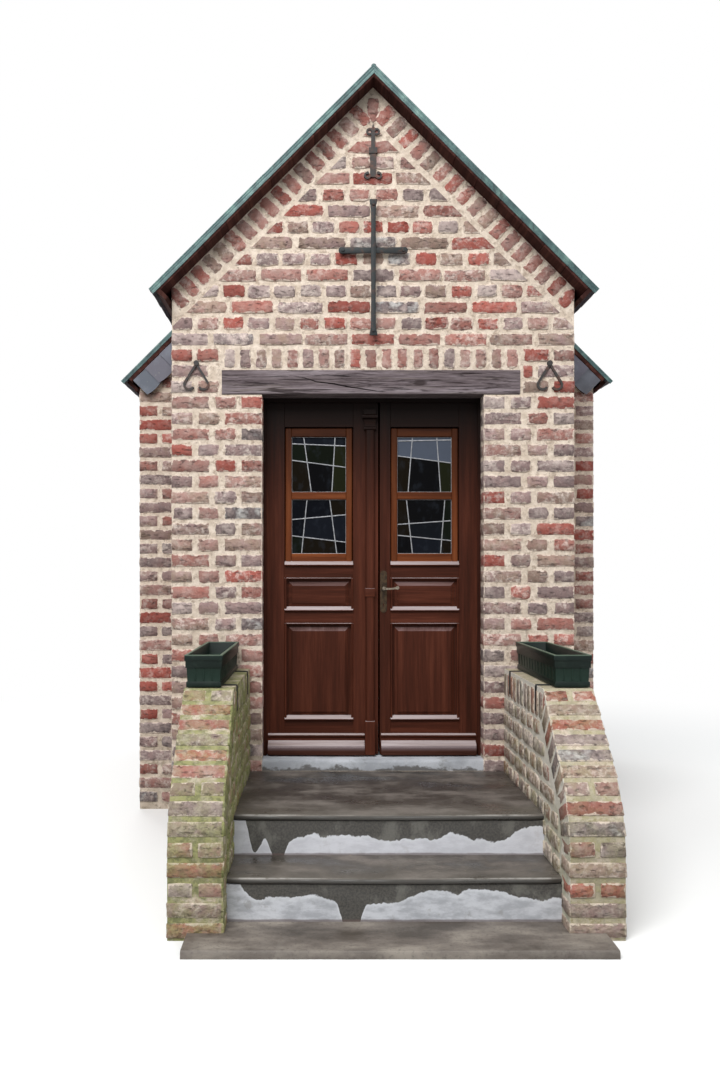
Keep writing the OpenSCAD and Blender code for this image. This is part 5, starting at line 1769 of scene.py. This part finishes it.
# %% [markdown]
# ## Stone, cement and limewash
# The treads are dark, wet stone with green and brown cloud in it, worn paler along the nosing. A thin
# painted highlight, patchy like worn stone, runs along the edge of each nosing, and painted shade
# darkens its lower face. The risers are limewashed, and damp hangs down them from under each tread
# in an uneven line. The threshold is pale cement and the slab at the foot is a flat brownish stone.
# Damp is drawn from the height below the tread, pushed up and down by noise, so its edge never runs
# level.

# %% Stone finishes
SLAB_LOW, SLAB_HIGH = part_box("bottom_slab")
LOWER_TREAD_Z = 0.196
UPPER_NOSE_Y = FRONT_Y - 0.866
DRIP_X = -0.14
TREAD_THICK = TREAD_HIGH.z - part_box("step_masonry")[1].z


def make_tread_stone(name, dark, middle, light, rough_wet, worn=False):
    """Cloudy stone that shines where it is dark. Worn stone is a tread with a paler trodden front, a painted
    highlight along the edge of its nosing and painted shade on the nosing's lower face.
    """
    made, place, (_, y, z) = finish_of(name, rough_wet)
    cloud = grain_noise(stretch(place, 3.4, 6.5, 6), 1.0, 8, 0.64)
    fine = grain_noise(place, 70, 6, 0.7)
    streak = grain_noise(stretch(place, 12, 6, 16), 1.0, 6, 0.65)
    colour = ramp(cloud, [(0.36, dark), (0.50, middle), (0.64, light)])
    colour = layer(patches(streak, 0.5, 0.66) * 0.25, colour, (130, 124, 116))
    colour = layer(patches(fine, 0.52, 0.68) * 0.45, colour, (46, 42, 38))
    gravel = patches(grain_noise(place, 38, 4, 0.8), 0.67, 0.71)
    colour = layer(gravel * 0.6, colour, (150, 132, 108))
    wet = wire(place.tree, "MapRange", Value=cloud, From_Min=0.38, From_Max=0.60, To_Min=rough_wet,
               To_Max=0.75)
    if worn:
        lower = z < LOWER_TREAD_Z + 0.01
        inward = y - (lower * (TREAD_LOW.y - UPPER_NOSE_Y) + UPPER_NOSE_Y)
        below = lower * (LOWER_TREAD_Z - TREAD_HIGH.z) + TREAD_HIGH.z - z
        trodden = patches(inward + cloud * 0.3, 0.52, 0.12)
        colour = layer(trodden * 0.45, colour, (116, 111, 103))
        # painted shade: the lower, down-facing part of the round nosing is darkened
        face = patches(below, 0.004, 0.009) * patches(inward, 0.03, 0.02)
        colour = layer(face * 0.85, colour, (46, 44, 41))
        # painted highlight along the edge of the nosing, patchy like worn stone
        arris = patches(below, 0.006, 0.002) * patches(inward, 0.016, 0.006)
        rubbed_and_lit_arris = arris * patches(grain_noise(place, 16, 6, 0.7), 0.34, 0.54)
        colour = layer(rubbed_and_lit_arris * 0.8, colour, (186, 184, 178))
    return connect(made, colour, bump(fine + streak * 0.5, 0.4, 0.0025), wet)


def make_limewash(name):
    made, place, (x, _, z) = finish_of(name, 0.85)
    cloud = grain_noise(stretch(place, 10, 20, 26), 1.0, 7, 0.68)
    lobes = grain_noise(stretch(place, 3.2, 6, 1.6), 1.0, 2, 0.4)
    ragged = grain_noise(stretch(place, 9, 9, 6), 1.0, 6, 0.62)
    fine = grain_noise(place, 120, 5, 0.7)
    upper_step = z > LOWER_TREAD_Z - 0.02
    white = layer(patches(cloud, 0.36, 0.64), (202, 204, 209), (168, 170, 175))
    bare = patches(grain_noise(place, 15, 7, 0.7), 0.57, 0.66)
    white = layer(bare * 0.4, white, (134, 130, 124))
    white = layer(upper_step * 0.45, white, (226, 225, 232))
    step_z = z - upper_step * (TREAD_HIGH.z - LOWER_TREAD_Z)
    drop = (LOWER_TREAD_Z - TREAD_THICK) - step_z
    edge = (lobes - 0.5) * 0.24 + (ragged - 0.5) * 0.09 + (upper_step * 0.006 + 0.044)
    run = patches(abs(x - DRIP_X), 0.062, 0.006) * (1.0 - upper_step)
    for from_left in (0.082, 0.182):
        dip = patches(abs(x - (TREAD_LOW.x + from_left)), 0.052, 0.0)
        run = greater(run, dip * upper_step)
    sunk = patches(x, TREAD_LOW.x + 1.02, TREAD_LOW.x + 0.80) * upper_step
    dry_end = patches(x, TREAD_LOW.x + 0.13, TREAD_LOW.x + 0.02)
    edge = edge + run * 0.115 + sunk * 0.024 - dry_end * 0.10
    below = drop - edge
    damp = patches(below, 0.0025, -0.0025)
    stain = layer(patches(fine, 0.4, 0.6), (52, 50, 45), (76, 72, 65))
    stain = layer(patches(ragged, 0.5, 0.64) * 0.5, stain, (120, 118, 110))
    rim = patches(below, 0.020, 0.002) * (1.0 - damp)
    white = layer(rim * 0.5, white, (222, 224, 228))
    colour = layer(damp * 0.96, white, stain)
    # darker in a thin, ragged line at the foot of each riser
    foot = z - upper_step * LOWER_TREAD_Z - (upper_step * -SLAB_HIGH.z + SLAB_HIGH.z + ragged * 0.012)
    colour = layer(patches(foot, 0.004, -0.002) * 0.7, colour, (96, 80, 76))
    return connect(made, colour, bump(cloud + fine, 0.4, 0.002))


def make_cement(name):
    made, place, (_, _, z) = finish_of(name, 0.8)
    cloud = grain_noise(place, 5, 6, 0.6)
    fine = grain_noise(place, 140, 4, 0.7)
    colour = layer(patches(cloud, 0.4, 0.62), (184, 187, 193), (152, 155, 161))
    stain = patches(grain_noise(place, 9, 7, 0.7), 0.56, 0.68)
    colour = layer(stain * 0.6, colour, (104, 102, 96))
    colour = layer(patches(fine, 0.5, 0.7) * 0.3, colour, (140, 138, 130))
    climb = (grain_noise(stretch(place, 7, 7, 10), 1.0, 6, 0.65) - 0.46) * 0.16
    wet = patches(z - TREAD_HIGH.z - climb, 0.010, -0.005)
    colour = layer(wet * 0.85, colour, (78, 74, 70))
    return connect(made, colour, bump(cloud + fine, 0.35, 0.002))


tread_stone = make_tread_stone("wet_tread_stone", (38, 32, 28), (72, 66, 61), (112, 104, 98), 0.24, True)
slab_stone = make_tread_stone("foot_slab_stone", (74, 67, 60), (106, 98, 91), (140, 132, 122), 0.5)
limewash = make_limewash("stained_limewash")
cement = make_cement("pale_cement")
dress(limewash, "step_masonry")
dress(cement, "floor_slab")
print("stone finishes:", tread_stone.name, slab_stone.name, limewash.name, cement.name)

# %% [markdown]
# Each tread is a slab with a full round nosing, a little dished where feet have worn it. It starts as
# an outline of its end, is cut into short lengths, and its top is lowered by a few millimetres in
# the middle. The corners of the nosing are rounded off as on the real steps.

# %% Shape the treads, the threshold and the slab
def worn_slab(name, x0, x1, outline, cuts, wear, top_z):
    """A slab from an outline of Y and Z, cut across and worn down in the middle of its front."""
    made = outline_piece(name, [(x0, y, z) for y, z in outline], (x1 - x0, 0, 0))
    slice_up(made, x0, x1, cuts)
    front_at = min(y for y, _ in outline)
    for point in made.data.vertices:
        across = (point.co.x - x0) / (x1 - x0)
        near = max(0.0, 1 - (point.co.y - front_at) / 0.25)
        middle = math.sin(math.pi * across) ** 2
        uneven = noise_at(point.co.x * 9, point.co.y * 9, top_z * 5)
        if point.co.z > top_z - 0.02:
            point.co.z -= wear * near * middle + 0.0006 + 0.0006 * uneven
        if point.co.y < front_at + 0.015:
            point.co.y += 0.0012 + 0.0012 * uneven
    return smooth(made)


treads = []
for front_at, back_at, top in ((TREAD_LOW.y, UPPER_NOSE_Y + 0.009, LOWER_TREAD_Z),
                               (UPPER_NOSE_Y, FRONT_Y, TREAD_HIGH.z)):
    r = TREAD_THICK / 2
    outline = curve(front_at + r, top - r, r, 270, 90, 10)
    outline += [(front_at + 0.12, top), (back_at, top), (back_at, top - TREAD_THICK)]
    slab = worn_slab("tread", TREAD_LOW.x + 0.001, TREAD_HIGH.x - 0.001, outline, 24, 0.004, top)
    for point in slab.data.vertices:
        from_end = min(point.co.x - TREAD_LOW.x, TREAD_HIGH.x - point.co.x)
        if from_end < 0.03 and point.co.y < front_at + 0.03:
            point.co.y += (0.03 - from_end) * 0.35
    treads.append(slab)
finish(treads, "stone_treads", tread_stone, "building", "tread_stone", "stair_treads")

THRESH_LOW, THRESH_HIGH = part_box("threshold")
sill = worn_slab("sill_front", -HALF_DOOR + 0.001, HALF_DOOR - 0.001, [
    (THRESH_LOW.y + 0.001, THRESH_LOW.z), (THRESH_LOW.y + 0.0005, THRESH_HIGH.z - 0.016),
    (THRESH_LOW.y + 0.004, THRESH_HIGH.z - 0.005), (THRESH_LOW.y + 0.012, THRESH_HIGH.z),
    (JAMB_LOW.y + 0.001, THRESH_HIGH.z), (JAMB_LOW.y + 0.001, THRESH_LOW.z)], 20, 0.003, THRESH_HIGH.z)
sill_back = block("sill_back", (THRESH_LOW.x + 0.001, JAMB_LOW.y, THRESH_LOW.z),
                  (THRESH_HIGH.x - 0.001, THRESH_HIGH.y, THRESH_HIGH.z - 0.0005))
finish([sill, soften(sill_back, 0.002)], "cement_threshold", cement, "building", "cement", "threshold")

slab_front = worn_slab("foot_slab", SLAB_LOW.x, SLAB_HIGH.x, [
    (SLAB_LOW.y, 0.0), (SLAB_LOW.y, SLAB_HIGH.z - 0.008), (SLAB_LOW.y + 0.006, SLAB_HIGH.z),
    (CHEEK_FOOT_Y, SLAB_HIGH.z), (CHEEK_FOOT_Y, 0.0)], 16, 0.001, SLAB_HIGH.z)
slab_back = block("slab_back", (TREAD_LOW.x, CHEEK_FOOT_Y - 0.001, 0),
                  (TREAD_HIGH.x, SLAB_HIGH.y, SLAB_HIGH.z - 0.0008))
finish([slab_front, soften(slab_back, 0.001)], "foot_slab", slab_stone, "building", "tread_stone",
       "bottom_slab")

# %% [markdown]
# ## Flower boxes
# The boxes are dark green moulded plastic: sloping sides with upright ribs, a rim in two steps and a
# shallow tray underneath. The box is built up ring by ring, out to the rim and down again inside, the
# edges are softened, and a rib is drawn out for each place along the sides and the ends.

# %% Mould the flower boxes
BOX_LOW, BOX_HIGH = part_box("left_flower_box")
RIBS = 13


def make_plastic(name):
    made, place, (_, _, z) = finish_of(name, 0.45, Specular_IOR_Level=0.2)
    dust = patches(grain_noise(place, 25, 6, 0.65), 0.5, 0.72)
    colour = layer(dust * 0.45, (14, 27, 23), (38, 51, 43))
    # painted light: the body between tray and rim is drawn lighter, so the step under the rim stays darker
    # as painted shade
    painted_light_body_band = between(z, BOX_LOW.z + 0.0225, BOX_HIGH.z - 0.0545)
    colour = layer(painted_light_body_band * 0.5, colour, (24, 46, 36))
    # painted highlight along the top of the rim
    painted_rim_highlight = patches(z, BOX_HIGH.z - 0.005, BOX_HIGH.z - 0.001)
    colour = layer(painted_rim_highlight * 0.5, colour, (112, 132, 112))
    return connect(made, colour, bump(grain_noise(place, 260, 3, 0.7), 0.25, 0.0008))


plastic = make_plastic("dark_green_plastic")
for side, name in SIDES:
    low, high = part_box(name + "_flower_box")
    tall = high.z - low.z
    outside = [(0.0065, 0), (0.0065, 0.022), (0.011, 0.022), (0.008, tall - 0.054), (0.0035, tall - 0.054),
               (0.0035, tall - 0.024), (0, tall - 0.024), (0, tall)]
    inside = [(0.012, tall), (0.015, 0.008)]
    shell = ringed("box_shell", [(low.x + inset, low.y + inset, high.x - inset, high.y - inset, low.z + z)
                                 for inset, z in outside + inside])
    soften(shell, 0.0011, 2)
    parts = [smooth(shell)]
    rib_edge = [(0.014, 0.026), (0.0088, 0.027), (0.0058, tall - 0.056), (0.012, tall - 0.055)]
    for face, edge_x, edge_y in ((-1, low.x, low.y), (1, high.x, high.y)):
        ribs = []
        for index in range(RIBS):
            y = low.y + 0.045 + index * (high.y - low.y - 0.09) / (RIBS - 1)
            ribs.append(([(edge_x - face * inset, y - 0.004, low.z + z) for inset, z in rib_edge],
                         (0, 0.008, 0)))
        for index in (-1, 0, 1):
            x = (low.x + high.x) / 2 + index * 0.035
            ribs.append(([(x - 0.004, edge_y - face * inset, low.z + z) for inset, z in rib_edge],
                         (0.008, 0, 0)))
        parts += [soften(outline_piece("rib", points, wide), 0.0012) for points, wide in ribs]
    finish(parts, name + "_planter", plastic, "building", "box_plastic", name + "_flower_box")

# %% [markdown]
# ## Wrought iron
# The cross, the wall anchors and the straps are forged iron under old black paint, which has rubbed
# through to rust here and there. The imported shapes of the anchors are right, so they only take the
# finish. The cross is a slim upright bar, drawn in between its flared ends, in front of a heavier arm.

# %% Forge the ironwork
def make_iron(name, paint_colour, rust):
    made, place, _ = finish_of(name, 0.6, Metallic=0.3)
    cloud = grain_noise(place, 30, 7, 0.7)
    fine = grain_noise(place, 150, 5, 0.7)
    rusty = layer(fine, (74, 44, 34), (112, 72, 52))
    colour = layer(patches(cloud, 0.5, 0.64) * rust, paint_colour, rusty)
    return connect(made, colour, bump(cloud + fine, 0.6, 0.0015))


black_iron = make_iron("black_wrought_iron", (26, 32, 34), 0.35)
dress(make_iron("weathered_iron", (46, 43, 42), 0.55), "wall_anchors")
dress(make_iron("dull_hinge_iron", (48, 46, 44), 0.3), "frame_hinges", "left_leaf_hinges",
      "right_leaf_hinges")

CROSS_LOW, CROSS_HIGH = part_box("wall_cross")
BAR_BACK_Y = FRONT_Y - 0.022
ARM_Z = CROSS_LOW.z + 0.425
top_z, low_z = CROSS_HIGH.z, CROSS_LOW.z
waist, flare = 0.0125, 0.020
edge = [(flare, low_z), (flare - 0.001, low_z + 0.010), (waist + 0.002, low_z + 0.030),
        (waist, low_z + 0.050), (waist - 0.0015, ARM_Z - 0.20), (waist, ARM_Z),
        (waist - 0.0015, ARM_Z + 0.10), (waist, top_z - 0.050), (waist + 0.002, top_z - 0.030),
        (flare - 0.001, top_z - 0.010), (flare, top_z)]
upright_bar = outline_piece("cross_upright", [(x, BAR_BACK_Y - 0.024, z) for x, z in mirror_on(edge)],
                            (0, 0.012, 0))
soften(upright_bar, 0.0025, 2)
arm_half = (CROSS_HIGH.x - CROSS_LOW.x) / 2
arm_edge = [(arm_half - 0.016 + 0.016 * math.cos(a), 0.0165 * math.sin(a)) for a in
            [math.radians(-90 + 22.5 * k) for k in range(9)]]
arm_edge = [(0.04, -0.0145)] + arm_edge + [(0.04, 0.0145)]
arm_bar = outline_piece("cross_arm", [(x, BAR_BACK_Y - 0.012, ARM_Z + z) for x, z in mirror_on(arm_edge)],
                        (0, 0.012, 0))
soften(arm_bar, 0.003, 2)
studs = []
for x, z, r, reach in ((0, low_z + 0.024, 0.010, 0.052), (0, top_z - 0.024, 0.010, 0.052),
                       (-arm_half + 0.022, ARM_Z, 0.009, 0.039), (arm_half - 0.022, ARM_Z, 0.009, 0.039)):
    stud = rod("stud", 16, r, reach + 0.004, (x, FRONT_Y - reach / 2 + 0.002, z))
    soften(stud, 0.003, 3, lambda a, b: a.y < FRONT_Y - reach + 0.001 and b.y < FRONT_Y - reach + 0.001)
    studs.append(smooth(stud))
finish([smooth(upright_bar), smooth(arm_bar)] + studs, "forged_wall_cross", black_iron, "building",
       "wrought_iron", "wall_cross")

# %% [markdown]
# The straps that hold the flower boxes are flat bars bent over the walls. Each is an outline with
# rounded bends, drawn out to the width of the bar.

# %% Bend the straps
STRAP_FOOT_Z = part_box("box_straps")[0].z + 0.001
box_mid_y = (BOX_LOW.y + BOX_HIGH.y) / 2
box_long = BOX_HIGH.y - BOX_LOW.y
straps = []
for side in (-1, 1):
    x = STAIR_X + side * CHEEK_MID
    w = CHEEK_WIDE / 2
    for spot in (-0.36 * box_long, 0.36 * box_long):
        y0 = box_mid_y + spot - 0.0125
        outer = [(w + 0.004, STRAP_FOOT_Z), (w + 0.004, CHEEK_TOP - 0.004), (w + 0.0025, CHEEK_TOP + 0.002),
                 (w - 0.002, CHEEK_TOP + 0.004)]
        inner = [(-w - 0.0002, STRAP_FOOT_Z), (-w, CHEEK_TOP - 0.004), (-w + 0.003, CHEEK_TOP + 0.0003)]
        shape = mirror_on(outer) + mirror_on(inner)
        strap = outline_piece("strap", [(x + a, y0, b) for a, b in shape], (0, 0.025, 0))
        straps.append(soften(strap, 0.0008))
finish(straps, "planter_straps", black_iron, "building", "wrought_iron", "box_straps")

# %% [markdown]
# ## Handle and plate
# The plate is aged brass gone brown, and the lever is rubbed pale by hands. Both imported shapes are
# right and exact, so they take a finish and no new mesh.

# %% Finish the handle
def make_brass(name, dark, light, roughness):
    made, place, _ = finish_of(name, roughness, Metallic=0.7)
    cloud = grain_noise(place, 60, 6, 0.7)
    return connect(made, layer(patches(cloud, 0.38, 0.64), dark, light), bump(cloud, 0.2, 0.0006))


dress(make_brass("brown_aged_brass", (44, 34, 25), (74, 58, 40), 0.5), "handle_plate")
dress(make_brass("rubbed_pale_brass", (104, 95, 82), (146, 136, 122), 0.4), "door_lever")

# %% [markdown]
# ## The floor
# A plain pale floor carries the shrine. It isn't part of the object.

# %% Add the floor
floor = primitive(bpy.ops.mesh.primitive_plane_add, "studio_floor", size=60)
pale, pale_place, _ = finish_of("pale_floor", 0.8, Base_Color=(0.80, 0.80, 0.79, 1))
pale_tree = pale.node_tree
distance = wire(pale_tree, "VectorMath", {"operation": "LENGTH"}, "Value", i0=pale_place)
seen_by_camera = seen_directly(pale_tree)
connect(pale, layer(seen_by_camera, (0.30, 0.30, 0.29, 1), (0.90, 0.90, 0.89, 1)))
fade = patches(distance, 2.4, 6.0) * seen_by_camera
glow = wire(pale_tree, "Emission", Color=(1, 1, 1, 1), Strength=1.0)
lit = Field(pale_tree, pale_tree.nodes["Principled BSDF"].outputs[0])
blend = wire(pale_tree, "MixShader", i0=fade, i1=lit, i2=glow)
pale_tree.links.new(blend.socket, pale_tree.nodes["Material Output"].inputs["Surface"])
paint(floor, pale)
floor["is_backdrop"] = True

# %% Remove the templates and measure the bounds
remove(*stretchers, *headers, *corner_bricks)
low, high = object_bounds()
